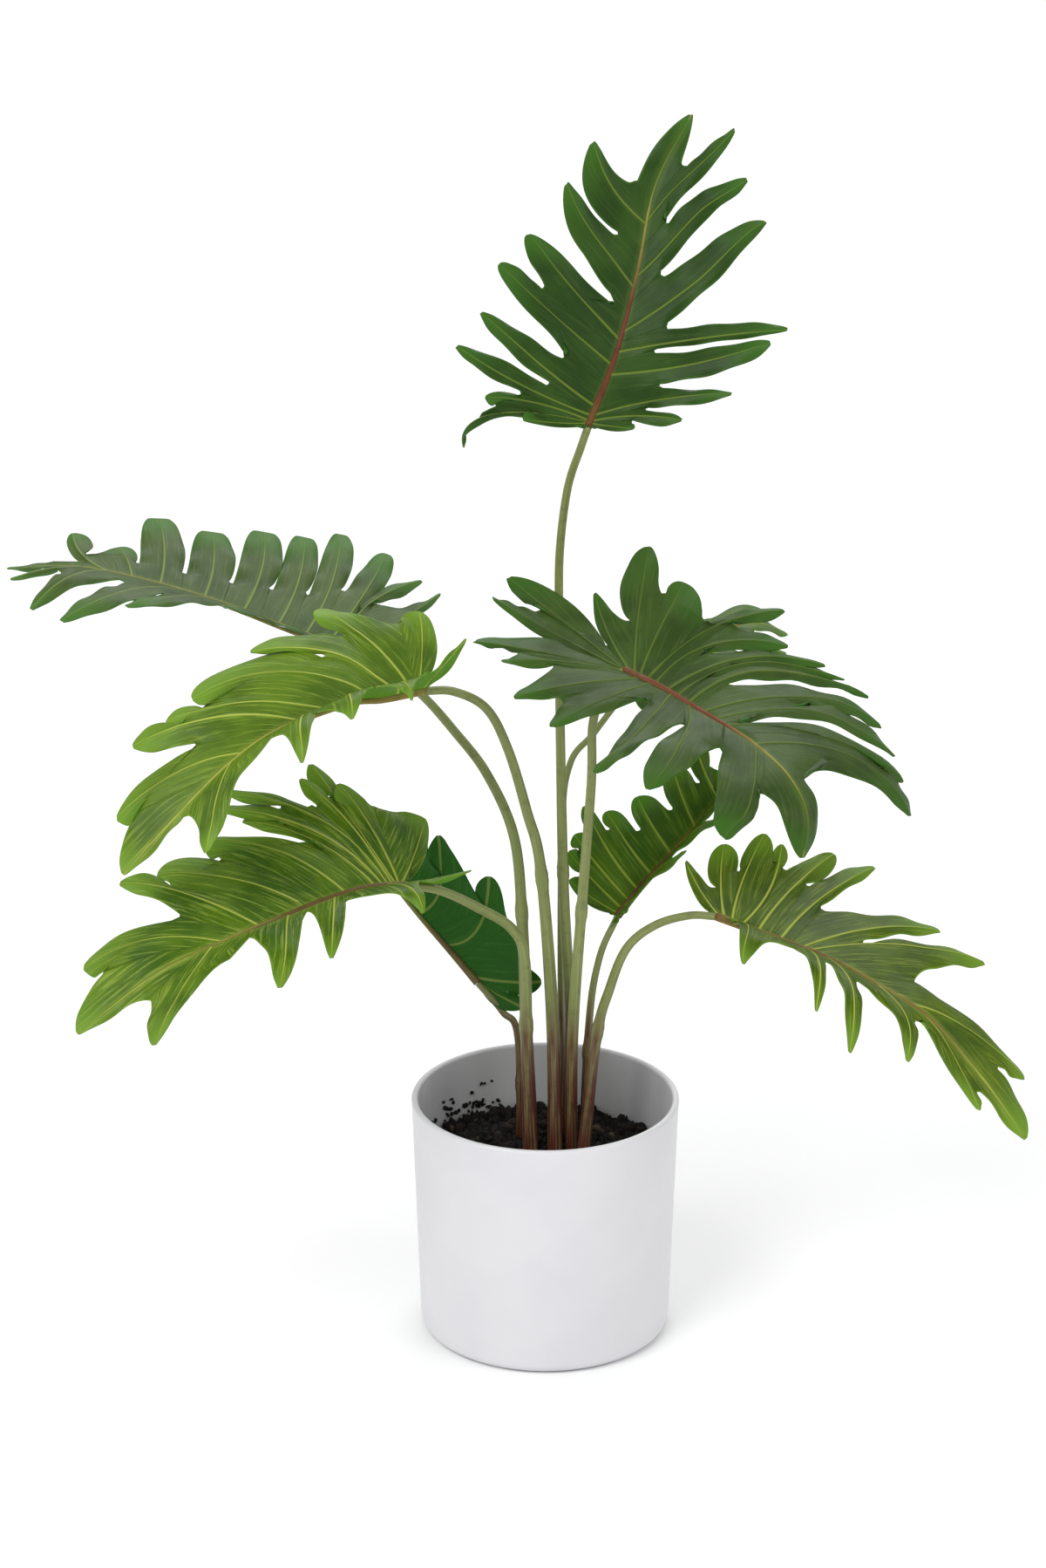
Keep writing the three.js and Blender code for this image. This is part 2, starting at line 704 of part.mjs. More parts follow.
// One edge of a lobe: straight from the midrib to the notch, then its free margin, a
// cubic curve to the tip with a round start in the notch.
function lobeEdge(vein, from, notch, half, blunt, side) {
  const [first, last] = NOTCH_SHARES.map((share) => share * vein.length);
  const start = Math.min(Math.max(vein.nearest(notch), first), last);
  const away = notch.clone().sub(vein.at(start));
  const wide = Math.max(away.dot(vein.across(start, side)), LEAST_HALF_WIDTH);
  const free = vein.length - start;
  const radius = Math.min(NOTCH_RADIUS, NOTCH_FILL * wide);
  const curve = new THREE.CubicBezierCurve(
    new THREE.Vector2(start, wide),
    new THREE.Vector2(start + MARGIN_HANDLE * free, half),
    new THREE.Vector2(vein.length - blunt * free, half),
    new THREE.Vector2(vein.length, 0),
  );
  const points = [];
  const stations = [];
  for (let i = 0; i < WEB_STEPS; i++) {
    points.push(new THREE.Vector2(from, 0).lerp(notch, i / WEB_STEPS));
    stations.push((start * i) / WEB_STEPS);
  }
  for (let i = 0; i <= FREE_STEPS; i++) {
    const at = curve.getPoint((i / FREE_STEPS) ** MARGIN_CROWDING);
    const past = Math.min(Math.max((at.x - start) / radius, 0), 1);
    const fade = Math.min(Math.max(1 - (at.x - start) / free, 0), 1);
    const round = radius * Math.sqrt(1 - (1 - past) ** 2) * fade * Math.min(at.y / radius, 1);
    points.push(i === 0 ? notch : vein.beside(at.x, at.y - round, side));
    stations.push(at.x);
  }
  return { points, stations };
}

// The lobes of one half in the flat pattern, from the stalk to the end lobe, which lies
// on the midrib: for each its vein and its edges.
function flatLobes(leaf, midrib, half) {
  const hand = handOf(half);
  const rows = leaf[half].map((row) => ({
    ...row,
    tip: [row.tip[0], row.tip[1] * hand],
    notch: new THREE.Vector2(row.notch[0], row.notch[1] * hand),
    reach: Math.max(row.tip[1], 1),
  }));
  const end = { ...leaf.end, tip: [midrib.length, 0], droop: 0, reach: 1 };
  const starts = [0, ...rows.map((row, j) => (row.root + (rows[j + 1] ?? end).root) / 2)];
  const lobes = rows.map((row, j) => {
    const straight = new Vein(row.root, row.tip, 0);
    const before = j > 0 ? rows[j - 1].notch : straight.beside(BASE_ALONG, BASE_ACROSS, hand);
    const webs = [[starts[j], before], [starts[j + 1], row.notch]];
    const vein = clearVein(row, leaf.sweep[half], hand, ...webs);
    const passed = j > 0 ? before : vein.beside(BASE_ALONG, BASE_ACROSS, hand);
    const near = lobeEdge(vein, starts[j], passed, row.half * (1 + row.fuller), row.blunt, hand);
    const far = lobeEdge(vein, starts[j + 1], row.notch, row.half * (1 - row.fuller), row.blunt, -hand);
    return { row, vein, near, far };
  });
  const vein = new Vein(end.root, end.tip, 0);
  const wide = end.half * (1 - hand * (end.fuller ?? 0));
  const near = lobeEdge(vein, starts.at(-1), rows.at(-1).notch, wide, end.blunt, hand);
  return [...lobes, { row: end, vein, near, far: null }];
}

// The lobes of one half as points in space. Neighbours share the edge up to their notch.
function halfLobes(leaf, midrib, half) {
  const flats = flatLobes(leaf, midrib, half);
  const spot = (row, point) => place(leaf, midrib, half, [point.x, point.y], row.droop, row.reach);
  return flats.map(({ row, vein, near, far }, j) => {
    const shared = (edge, other) =>
      edge.points.map((point, i) => {
        const own = spot(row, point);
        if (!other) return own;
        const free = Math.max(0, i - WEB_STEPS) / FREE_STEPS;
        return own.lerp(spot(other.row, point), 0.5 - 0.5 * Math.min(free / PARTING_SHARE, 1));
      });
    const sides = far ? [near, far] : [near];
    const flatVein = near.stations.map((_, i) => {
      const distance = sides.reduce((sum, edge) => sum + edge.stations[i], 0) / sides.length;
      return vein.at(distance);
    });
    const veinPoints = flatVein.map((point) => spot(row, point));
    const columns = [shared(near, flats[j - 1]), veinPoints];
    const pattern = [near.points, flatVein];
    if (far) {
      columns.push(shared(far, flats[j + 1]));
      pattern.push(far.points);
    }
    return { columns, pattern };
  });
}

// The four corners round one face of a grid of columns.
function ringOf(grid, c, i) {
  return [grid[c][i], grid[c + 1][i], grid[c + 1][i + 1], grid[c][i + 1]];
}

// Whether a face is split from its second corner: where a split from its first would
// turn a triangle over in the flat pattern, and the other split turns less over.
function splitsFromSecond([a, b, c, d]) {
  const area = (p, q, r) => q.clone().sub(p).cross(r.clone().sub(p));
  const fromFirst = Math.min(area(a, b, c), area(a, c, d));
  const fromSecond = Math.min(area(b, c, d), area(b, d, a));
  return fromFirst < 0 && fromSecond > fromFirst;
}

// The two faces of a strip between rows of points, moved out by half the thickness
// along normals that neighbouring strips share, split alike and closed round the border.
function slab({ columns, pattern }, normalAt) {
  const count = columns[0].length;
  const half = BLADE_THICKNESS / 2;
  const lifted = (point, hand) => point.clone().addScaledVector(normalAt(point), hand * half);
  const top = columns.map((column) => column.map((p) => lifted(p, 1)));
  const low = columns.map((column) => column.map((p) => lifted(p, -1)));
  const triangles = [];
  const quad = (a, b, c, d) => {
    triangles.push([a, b, c], [a, c, d]);
  };
  for (let c = 0; c + 1 < columns.length; c++) {
    for (let i = 0; i + 1 < count; i++) {
      const [upper, lower] = [ringOf(top, c, i), ringOf(low, c, i)];
      if (splitsFromSecond(ringOf(pattern, c, i))) {
        upper.push(upper.shift());
        lower.push(lower.shift());
      }
      quad(...upper);
      quad(lower[0], lower[3], lower[2], lower[1]);
    }
    quad(low[c][0], low[c + 1][0], top[c + 1][0], top[c][0]);
    quad(top[c][count - 1], top[c + 1][count - 1], low[c + 1][count - 1], low[c][count - 1]);
  }
  const last = columns.length - 1;
  for (let i = 0; i + 1 < count; i++) {
    quad(low[0][i + 1], low[0][i], top[0][i], top[0][i + 1]);
    quad(low[last][i], low[last][i + 1], top[last][i + 1], top[last][i]);
  }
  const cleaned = triangles.filter(([a, b, c]) => !a.equals(b) && !b.equals(c) && !c.equals(a));
  return solidOf(cleaned);
}

// Face normals gathered at each point of one half, so that strips meet without a step.
// A face that is turned over in the flat pattern counts with its normal turned back.
function sharedNormals(strips) {
  const sums = new Map();
  const key = (p) => [p.x, p.y, p.z].map((v) => v.toFixed(3)).join(",");
  for (const { columns, pattern } of strips) {
    for (let c = 0; c + 1 < columns.length; c++) {
      for (let i = 0; i + 1 < columns[c].length; i++) {
        const ring = ringOf(columns, c, i);
        const first = ring[2].clone().sub(ring[0]);
        const cross = first.cross(ring[3].clone().sub(ring[1]));
        const flat = ringOf(pattern, c, i);
        const turned = flat[2].clone().sub(flat[0]).cross(flat[3].clone().sub(flat[1])) < 0;
        if (turned) cross.negate();
        for (const corner of ring) {
          const id = key(corner);
          sums.set(id, (sums.get(id) ?? new THREE.Vector3()).add(cross));
        }
      }
    }
  }
  return (point) => sums.get(key(point)).clone().normalize();
}

function bladeSolid(leaf, midrib) {
  const parts = [];
  for (const half of ["left", "right"]) {
    const strips = halfLobes(leaf, midrib, half);
    if (half === "left") {
      strips.forEach(({ columns, pattern }) => {
        columns.reverse();
        pattern.reverse();
      });
    }
    const normalAt = sharedNormals(strips);
    for (const strip of strips) parts.push(slab(strip, normalAt));
  }
  const steps = Math.round(midrib.length / RIB_STEP);
  const slim = (share) => RIB_BASE_RADIUS + (RIB_TIP_RADIUS - RIB_BASE_RADIUS) * share ** RIB_TAPER;
  parts.push(tube(midrib.curve, steps, RIB_SIDES, slim));
  return wasm.Manifold.union(parts);
}

// A stalk: thick at its sheathed foot, with one knuckle, slim where it meets its leaf.
function stalkTube(leaf, margin) {
  const { path, foot, top, knuckle } = leaf.stalk;
  const curve = new THREE.CatmullRomCurve3(path.map(vec), false, "catmullrom", 0.5);
  curve.arcLengthDivisions = 400;
  const steps = Math.round(curve.getLength() / STALK_STEP);
  const radiusAt = (share, centre) => {
    const swell = KNUCKLE_SWELL * Math.exp(-(((centre.z - knuckle) / KNUCKLE_LENGTH) ** 2));
    return foot + (top - foot) * share ** STALK_TAPER + swell + margin;
  };
  return tube(curve, steps, STALK_SIDES, radiusAt);
}

// A stalk that is cut square just short of its leaf's midrib.
function trimmedStalk(leaf, midrib, margin) {
  const { point, tangent } = midrib.at(0);
  const cutter = new THREE.CylinderGeometry(TRIM_REACH, TRIM_REACH, TRIM_REACH, TRIM_SIDES);
  const turn = new THREE.Quaternion().setFromUnitVectors(new THREE.Vector3(0, 1, 0), tangent);
  cutter.applyQuaternion(turn);
  const centre = point.clone().addScaledVector(tangent, TRIM_REACH / 2 - SEAT_GAP + margin);
  cutter.translate(centre.x, centre.y, centre.z);
  return stalkTube(leaf, margin).subtract(solidOfGeometry(cutter));
}

// A cup turned on its axis, with a flat underside, a rounded foot and a rounded rim.
function potSolid() {
  const outerAt = (z) => POT_FOOT_RADIUS + ((POT_RIM_RADIUS - POT_FOOT_RADIUS) * z) / POT_HEIGHT;
  const innerAt = (z) => outerAt(z) - POT_WALL;
  const arc = (cx, cz, radius, from, to, steps) =>
    Array.from({ length: steps + 1 }, (_, i) => {
      const turn = THREE.MathUtils.degToRad(from + ((to - from) * i) / steps);
      return new THREE.Vector2(cx + radius * Math.cos(turn), cz + radius * Math.sin(turn));
    });
  const lip = POT_WALL / 2;
  const rimCentre = outerAt(POT_HEIGHT) - lip;
  const inside = innerAt(POT_FLOOR + POT_INNER_ROUND);
  const profile = [
    new THREE.Vector2(0, 0),
    ...arc(outerAt(0) - POT_FOOT_ROUND, POT_FOOT_ROUND, POT_FOOT_ROUND, -90, 0, 3),
    ...arc(rimCentre, POT_HEIGHT - lip, lip, 0, 180, 4),
    ...arc(inside - POT_INNER_ROUND, POT_FLOOR + POT_INNER_ROUND, POT_INNER_ROUND, 0, -90, 3),
    new THREE.Vector2(0, POT_FLOOR),
  ];
  const turned = new THREE.LatheGeometry(profile, POT_SEGMENTS);
  turned.rotateX(Math.PI / 2);
  return { solid: solidOfGeometry(turned), innerAt };
}

// The soil's upper face: a low hump round the stalks with lumps that fade at the wall.
function soilHeight(x, y, radius) {
  const share = Math.hypot(x, y) / radius;
  const hump = SOIL_HUMP * (1 - share * share);
  const lumps = Math.sin(x * 0.31 + 1) * Math.cos(y * 0.27) + Math.sin(x * 0.13 - y * 0.19 + 2);
  return SOIL_LEVEL + hump + SOIL_LUMP * lumps;
}

function soilSolid(innerAt, stalks) {
  const rings = SOIL_RINGS;
  const sectors = SOIL_SECTORS;
  const low = POT_FLOOR + SEAT_GAP;
  const wide = innerAt(SOIL_LEVEL) - SEAT_GAP;
  const narrow = innerAt(POT_FLOOR + POT_INNER_ROUND) - POT_INNER_ROUND;
  const spot = (ring, k) => {
    const radius = (wide * ring) / rings;
    const turn = (2 * Math.PI * k) / sectors;
    const [x, y] = [radius * Math.cos(turn), radius * Math.sin(turn)];
    return new THREE.Vector3(x, y, soilHeight(x, y, wide));
  };
  const below = (radius, z, k) => {
    const turn = (2 * Math.PI * k) / sectors;
    return new THREE.Vector3(radius * Math.cos(turn), radius * Math.sin(turn), z);
  };
  const girth = innerAt(POT_FLOOR + POT_INNER_ROUND) - SEAT_GAP;
  const shoulder = POT_FLOOR + POT_INNER_ROUND;
  const triangles = [];
  const quad = (a, b, c, d) => {
    triangles.push([a, b, c], [a, c, d]);
  };
  for (let k = 0; k < sectors; k++) {
    const next = (k + 1) % sectors;
    triangles.push([spot(0, 0), spot(1, k), spot(1, next)]);
    for (let ring = 1; ring < rings; ring++) {
      quad(spot(ring, k), spot(ring + 1, k), spot(ring + 1, next), spot(ring, next));
    }
    quad(below(girth, shoulder, k), below(girth, shoulder, next), spot(rings, next), spot(rings, k));
    const [inner, innerNext] = [below(narrow, low, k), below(narrow, low, next)];
    quad(inner, innerNext, below(girth, shoulder, next), below(girth, shoulder, k));
    triangles.push([new THREE.Vector3(0, 0, low), innerNext, inner]);
  }
  return wasm.Manifold.difference([solidOf(triangles), ...stalks]);
}

const plant = new THREE.Group();
const pot = potSolid();
plant.add(meshOf("pot", pot.solid, 0xe9e8e6, 0.45));

const holes = [];
for (const leaf of LEAVES) {
  const midrib = new Midrib(leaf);
  const stalk = trimmedStalk(leaf, midrib, 0);
  const blade = bladeSolid(leaf, midrib).subtract(stalkTube(leaf, SEAT_GAP));
  holes.push(stalkTube(leaf, SEAT_GAP));
  plant.add(meshOf(`stalk_${leaf.name}`, settledBody(stalk), 0x6f7f45, 0.5));
  plant.add(meshOf(`blade_${leaf.name}`, settledBody(blade), leaf.colour, 0.4));
}
plant.add(meshOf("soil", soilSolid(pot.innerAt, holes), 0x1c1612, 0.95));

export default plant;
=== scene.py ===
"""The looks of a potted philodendron: nine cut leaves on bare stalks, soil and a round pot."""

from __future__ import annotations

import logging
import math
from dataclasses import dataclass, field, replace
from enum import Enum
from functools import cache
from typing import NamedTuple

import bpy
import numpy as np
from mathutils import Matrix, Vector


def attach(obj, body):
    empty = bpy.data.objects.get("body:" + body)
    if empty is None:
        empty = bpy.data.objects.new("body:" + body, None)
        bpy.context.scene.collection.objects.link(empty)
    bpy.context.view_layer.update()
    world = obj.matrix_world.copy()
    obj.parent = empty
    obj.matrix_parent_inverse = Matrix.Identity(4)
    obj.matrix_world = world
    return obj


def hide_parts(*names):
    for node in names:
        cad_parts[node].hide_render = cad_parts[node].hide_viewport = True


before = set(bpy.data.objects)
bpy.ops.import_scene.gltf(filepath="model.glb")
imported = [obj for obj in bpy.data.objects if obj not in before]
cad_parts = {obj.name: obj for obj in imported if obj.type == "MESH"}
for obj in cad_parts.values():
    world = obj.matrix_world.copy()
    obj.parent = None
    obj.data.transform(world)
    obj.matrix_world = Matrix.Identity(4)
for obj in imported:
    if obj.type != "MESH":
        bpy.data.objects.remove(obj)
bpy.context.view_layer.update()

logging.basicConfig(level=logging.INFO, format="%(message)s")
log = logging.getLogger("philodendron")

Array = np.ndarray
Point = tuple[float, float, float]
Colour = tuple[float, float, float]
Span = tuple[float, float]
Piece = bpy.types.Object
Material = bpy.types.Material
Socket = bpy.types.NodeSocket

# Metres to a millimetre, and what makes one unit of a piece's UV map.
MM = 0.001
UV_MM = 100
UV_TURN = 6.2832
# Two points in this many millimetres are one, and a closing ring is this share of its tube's.
JOIN_MM = 0.02
DOT = 0.02
# A hole with seven corners, closed by two faces with four corners and a triangle.
SEVEN_SIDED_CAP = np.array([[0, 1, 2, 6], [6, 2, 3, 5], [5, 3, 4, 4]])


def unit(vectors: Array) -> Array:
    """Vectors scaled to length one: each is divided by its own length."""
    return vectors / np.maximum(np.linalg.norm(vectors, axis=-1, keepdims=True), 1e-12)


def linear(colour: Colour) -> tuple[float, float, float, float]:
    """A screen colour, 0 to 255 a channel, as linear light with alpha one.

    Args:
        colour: red, green and blue as seen on a screen.

    Returns:
        Each channel c/255 raised by the screen's curve, ((c + 0.055) / 1.055) to the power 2.4,
        or c / 12.92 where it is nearly black.
    """
    share = np.array(colour, float) / 255
    curved = np.where(share <= 0.04045, share / 12.92, ((share + 0.055) / 1.055) ** 2.4)
    return (*map(float, curved), 1.0)


def smooth_step(values: Array, low: float, high: float) -> Array:
    """Values carried from 0 at low to 1 at high along 3t^2 - 2t^3."""
    share = np.clip((values - low) / (high - low), 0, 1)
    return share * share * (3 - 2 * share)


def bell(values: Array, width: float) -> Array:
    """A bell-shaped rise: e to the power of minus the square of value over width."""
    return np.exp(-((values / width) ** 2))


def full_turn(count: int) -> Array:
    """Even angles round a full turn, in radians, without the one that closes it."""
    return np.linspace(0, 2 * math.pi, count, endpoint=False)


def run_of(line: Array) -> Array:
    """The distance along a line of points from its first to each."""
    return np.concatenate([[0.0], np.cumsum(np.linalg.norm(np.diff(line, axis=0), axis=1))])


def read_along(distance: Array | float, run: Array, values: Array) -> Array:
    """Rows of values kept at the distances run, read at others by straight steps."""
    return np.stack([np.interp(distance, run, column) for column in values.T], axis=-1)


def paired(first: Array, second: Array) -> Array:
    """Two arrays of numbers as one of pairs, each repeated where the other is longer."""
    return np.stack(np.broadcast_arrays(first, second), axis=-1)


def spun(radius: Array, height: Array | float, turn: Array) -> Array:
    """Points at a radius and a height, carried round the upright axis by the angles turn."""
    round_axis = np.broadcast_arrays(radius * np.cos(turn), radius * np.sin(turn), height)
    return np.stack(round_axis, axis=-1)


def ringed(centre: Array, side: Array, front: Array, radius: Array, turn: Array) -> Array:
    """Rings of points round a line: centre + radius (side cos turn + front sin turn).

    Args:
        centre: the line's points.
        side: at each, a direction square to the line.
        front: at each, the direction square to both.
        radius: the radius at each point, or at each point and angle.
        turn: the angles round a ring.

    Returns:
        Rings by angles by three coordinates.
    """
    sideways = side[:, None] * (radius * np.cos(turn))[..., None]
    forwards = front[:, None] * (radius * np.sin(turn))[..., None]
    return centre[:, None] + sideways + forwards


def swung(shapes: Array, angle: Array, first: int, second: int) -> Array:
    """Shapes turned in the plane of two of their coordinates.

    Args:
        shapes: shapes by points by three coordinates.
        angle: each shape's angle, in radians.
        first: the coordinate that turns towards the second.
        second: the other one.

    Returns:
        The turned shapes.
    """
    c, s = np.cos(angle)[:, None], np.sin(angle)[:, None]
    turned = shapes.copy()
    turned[..., first] = shapes[..., first] * c - shapes[..., second] * s
    turned[..., second] = shapes[..., first] * s + shapes[..., second] * c
    return turned


@dataclass
class Route:
    """A smooth line through points, read by distance along it.

    The line is a uniform Catmull-Rom curve: between two points it is the cubic that
    passes through both and whose slope at each is half the step between its neighbours.
    """

    points: list[Point]
    samples: int = 24
    line: Array = field(init=False)
    tangents: Array = field(init=False)
    run: Array = field(init=False)

    def __post_init__(self) -> None:
        """Samples the curve and the distance along it."""
        given = np.array(self.points, float)
        p = np.vstack([2 * given[0] - given[1], given, 2 * given[-1] - given[-2]])
        t = np.arange(self.samples)[None, :, None] / self.samples
        a, b, c, d = (p[i : len(p) - 3 + i, None, :] for i in range(4))
        cubic = 2 * b + (c - a) * t + (2 * a - 5 * b + 4 * c - d) * t**2
        cubic = 0.5 * (cubic + (3 * b - 3 * c + d - a) * t**3)
        self.line = np.vstack([cubic.reshape(-1, 3), given[-1:]])
        self.tangents = unit(np.gradient(self.line, axis=0))
        self.run = run_of(self.line)

    @property
    def length(self) -> float:
        """The whole length of the line."""
        return float(self.run[-1])

    def read(self, distance: Array) -> tuple[Array, Array]:
        """Points and directions of the line at distances along it."""
        tangent = unit(read_along(distance, self.run, self.tangents))
        return read_along(distance, self.run, self.line), tangent


@dataclass
class Sheet:
    """A surface of four-cornered faces, with values and a UV place for each of its points.

    A face that names one point twice in a row is a triangle.
    """

    points: Array
    faces: Array
    values: dict[str, Array]
    uv: Array

    def normals(self) -> Array:
        """Unit normals at the points: the sum of the crossed diagonals of the faces round each.

        Returns:
            One direction a point.
        """
        a, b, c, d = (self.points[self.faces[:, i]] for i in range(4))
        crossed = np.cross(c - a, d - b)
        total = np.zeros_like(self.points)
        for i in range(4):
            np.add.at(total, self.faces[:, i], crossed)
        return unit(total)

    def facing(self, ways: Array, where: slice = slice(None)) -> Sheet:
        """Turns all faces over if the normals point mostly against the ways given.

        Args:
            ways: the directions outwards at the points that are asked.
            where: which points are asked.

        Returns:
            This surface, its faces outwards.
        """
        if (self.normals()[where] * ways).sum() < 0:
            self.faces = self.faces[:, ::-1]
        return self

    def joined(self, grain: float) -> Sheet:
        """The same surface with points that lie together made one, their values averaged.

        Args:
            grain: points that round to the same multiple of this are one point.

        Returns:
            The joined surface, without faces that lost a side.
        """
        keys = np.round(self.points / grain).astype(np.int64)
        _, first, place = np.unique(keys, axis=0, return_index=True, return_inverse=True)
        place = place.reshape(-1)
        count = np.bincount(place)
        values = {key: np.bincount(place, kept) / count for key, kept in self.values.items()}
        faces = place[self.faces]
        whole = (np.diff(np.sort(faces, axis=1), axis=1) > 0).all(axis=1)
        return Sheet(self.points[first], faces[whole], values, self.uv[first])

    def thickened(self, thickness: float) -> Sheet:
        """Gives an open surface two faces and a rounded rim.

        Args:
            thickness: the distance between its two faces.

        Returns:
            The closed skin: point plus and minus half the thickness along the normal, and on
            the border a third row pushed outwards by half the thickness. Its value "under"
            is 0 above, 1 below and 0.5 on the rim.
        """
        count, normal = len(self.points), self.normals()
        sides = np.vstack([self.faces[:, [i, (i + 1) % 4]] for i in range(4)])
        keys = np.sort(sides, axis=1)
        _, place, times = np.unique(keys, axis=0, return_inverse=True, return_counts=True)
        border = sides[times[place.reshape(-1)] == 1]
        step = self.points[border[:, 1]] - self.points[border[:, 0]]
        outward = np.zeros_like(self.points)
        for i in (0, 1):
            np.add.at(outward, border[:, i], np.cross(step, normal[border[:, i]]))
        edge = np.unique(border)
        number = np.full(count, -1)
        number[edge] = 2 * count + np.arange(len(edge))
        lift = normal * thickness / 2
        rim = self.points[edge] + unit(outward[edge]) * thickness / 2
        a, b = border.T
        upper = np.stack([b, a, number[a], number[b]], axis=-1)
        lower = np.stack([number[b], number[a], a + count, b + count], axis=-1)
        values = {key: np.concatenate([v, v, v[edge]]) for key, v in self.values.items()}
        values["under"] = np.repeat([0.0, 1.0, 0.5], [count, count, len(edge)])
        return Sheet(
            np.vstack([self.points + lift, self.points - lift, rim]),
            np.vstack([self.faces, self.faces[:, ::-1] + count, upper, lower]),
            values,
            np.vstack([self.uv, self.uv, self.uv[edge]]),
        )


def stacked(parts: list[Sheet]) -> Sheet:
    """Several surfaces as one, their points not yet joined.

    Args:
        parts: the surfaces, all with the same named values.

    Returns:
        One surface of all their faces.
    """
    starts = np.cumsum([0] + [len(part.points) for part in parts[:-1]])
    return Sheet(
        np.vstack([part.points for part in parts]),
        np.vstack([part.faces + start for part, start in zip(parts, starts)]),
        {key: np.concatenate([part.values[key] for part in parts]) for key in parts[0].values},
        np.vstack([part.uv for part in parts]),
    )


def grid_faces(rows: int, columns: int, closed: bool = False) -> Array:
    """Faces of a grid whose points are numbered row by row.

    Args:
        rows: how many rows of points there are.
        columns: how many points each row has.
        closed: whether the last column joins the first.

    Returns:
        Four point numbers a face: a point, its next in the row, and the two below them.
    """
    last = columns if closed else columns - 1
    i, j = np.meshgrid(np.arange(rows - 1), np.arange(last), indexing="ij")
    k = (j + 1) % columns
    quads = [i * columns + j, i * columns + k, (i + 1) * columns + k, (i + 1) * columns + j]
    return np.stack([quad.ravel() for quad in quads], axis=-1)


def capped(rings: Array, values: dict[str, Array], uv: Array) -> Sheet:
    """A tube from rings of points, closed at each end by a ring that shrinks to a dot.

    Args:
        rings: rings by points by three coordinates.
        values: named values, rings by points, or one for each ring.
        uv: a place on the finish for each point, rings by points by two.

    Returns:
        The closed tube, its faces outwards.
    """
    count, around = rings.shape[:2]
    total = count * around
    dots = [end.mean(0) + (end - end.mean(0)) * DOT for end in (rings[0], rings[-1])]
    points = np.vstack([dots[0], rings.reshape(-1, 3), dots[1]])
    cap = np.arange(around // 2 - 1)
    low = np.stack([cap, cap + 1, around - 2 - cap, around - 1 - cap], axis=-1)
    wall = grid_faces(count + 2, around, closed=True)
    faces = np.vstack([wall, low[:, ::-1], low + total + around])
    source = np.r_[0:around, 0:total, total - around : total]
    size = (count, around)
    spread = {key: np.broadcast_to(kept, size).ravel()[source] for key, kept in values.items()}
    outwards = (rings - rings.mean(1)[:, None]).reshape(-1, 3)
    sheet = Sheet(points, faces, spread, uv.reshape(-1, 2)[source])
    return sheet.facing(outwards, slice(around, -around))


def add_object(name: str, data: bpy.types.ID) -> Piece:
    """Puts a mesh, a lamp or a camera into the scene as an object.

    Args:
        name: the object's name.
        data: what it shows.

    Returns:
        The new object, at the origin.
    """
    made = bpy.data.objects.new(name, data)
    bpy.context.scene.collection.objects.link(made)
    return made


def make_piece(name: str, sheet: Sheet, material: Material) -> Piece:
    """Puts a surface into the scene as a smooth-shaded piece that rides on the plant.

    Args:
        name: the piece's name.
        sheet: its surface, in millimetres.
        material: its finish.

    Returns:
        The new object, its place in its mesh.
    """
    kept = sheet.faces != np.roll(sheet.faces, -1, axis=1)
    sides, corners = kept.sum(axis=1), sheet.faces[kept]
    mesh = bpy.data.meshes.new(name)
    mesh.vertices.add(len(sheet.points))
    mesh.vertices.foreach_set("co", (sheet.points * MM).astype(np.float32).ravel())
    mesh.loops.add(len(corners))
    mesh.loops.foreach_set("vertex_index", corners.astype(np.int32))
    mesh.polygons.add(len(sides))
    mesh.polygons.foreach_set("loop_start", (np.cumsum(sides) - sides).astype(np.int32))
    for key, values in sheet.values.items():
        layer = mesh.attributes.new(key, "FLOAT", "POINT")
        layer.data.foreach_set("value", values.astype(np.float32))
    layer = mesh.uv_layers.new(name="surface")
    layer.data.foreach_set("uv", sheet.uv[corners].astype(np.float32).ravel())
    mesh.update(calc_edges=True)
    mesh.validate()
    mesh.polygons.foreach_set("use_smooth", np.ones(len(mesh.polygons), bool))
    mesh.materials.append(material)
    piece = add_object(name, mesh)
    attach(piece, "root")
    return piece


class Half(Enum):
    """The two halves of a leaf, with the hand each lies on, looking from the stalk."""

    LEFT = -1
    RIGHT = 1


@dataclass(frozen=True)
class Lobe:
    """One finger of a leaf's flat cutting pattern, in millimetres, and the notch beyond it.

    root is where its side vein leaves the midrib, (tip_along, tip_out) where it ends,
    half its half width, droop its bend in degrees at the tip, blunt how round its tip is
    (0 round, 0.3 pointed), and fuller how much fuller its side nearer the stalk is, or
    on an end lobe its left side.
    """

    root: float
    tip_along: float
    tip_out: float
    half: float
    notch_along: float = 0.0
    notch_out: float = 0.0
    droop: float = 0.0
    blunt: float = 0.3
    fuller: float = 0.0


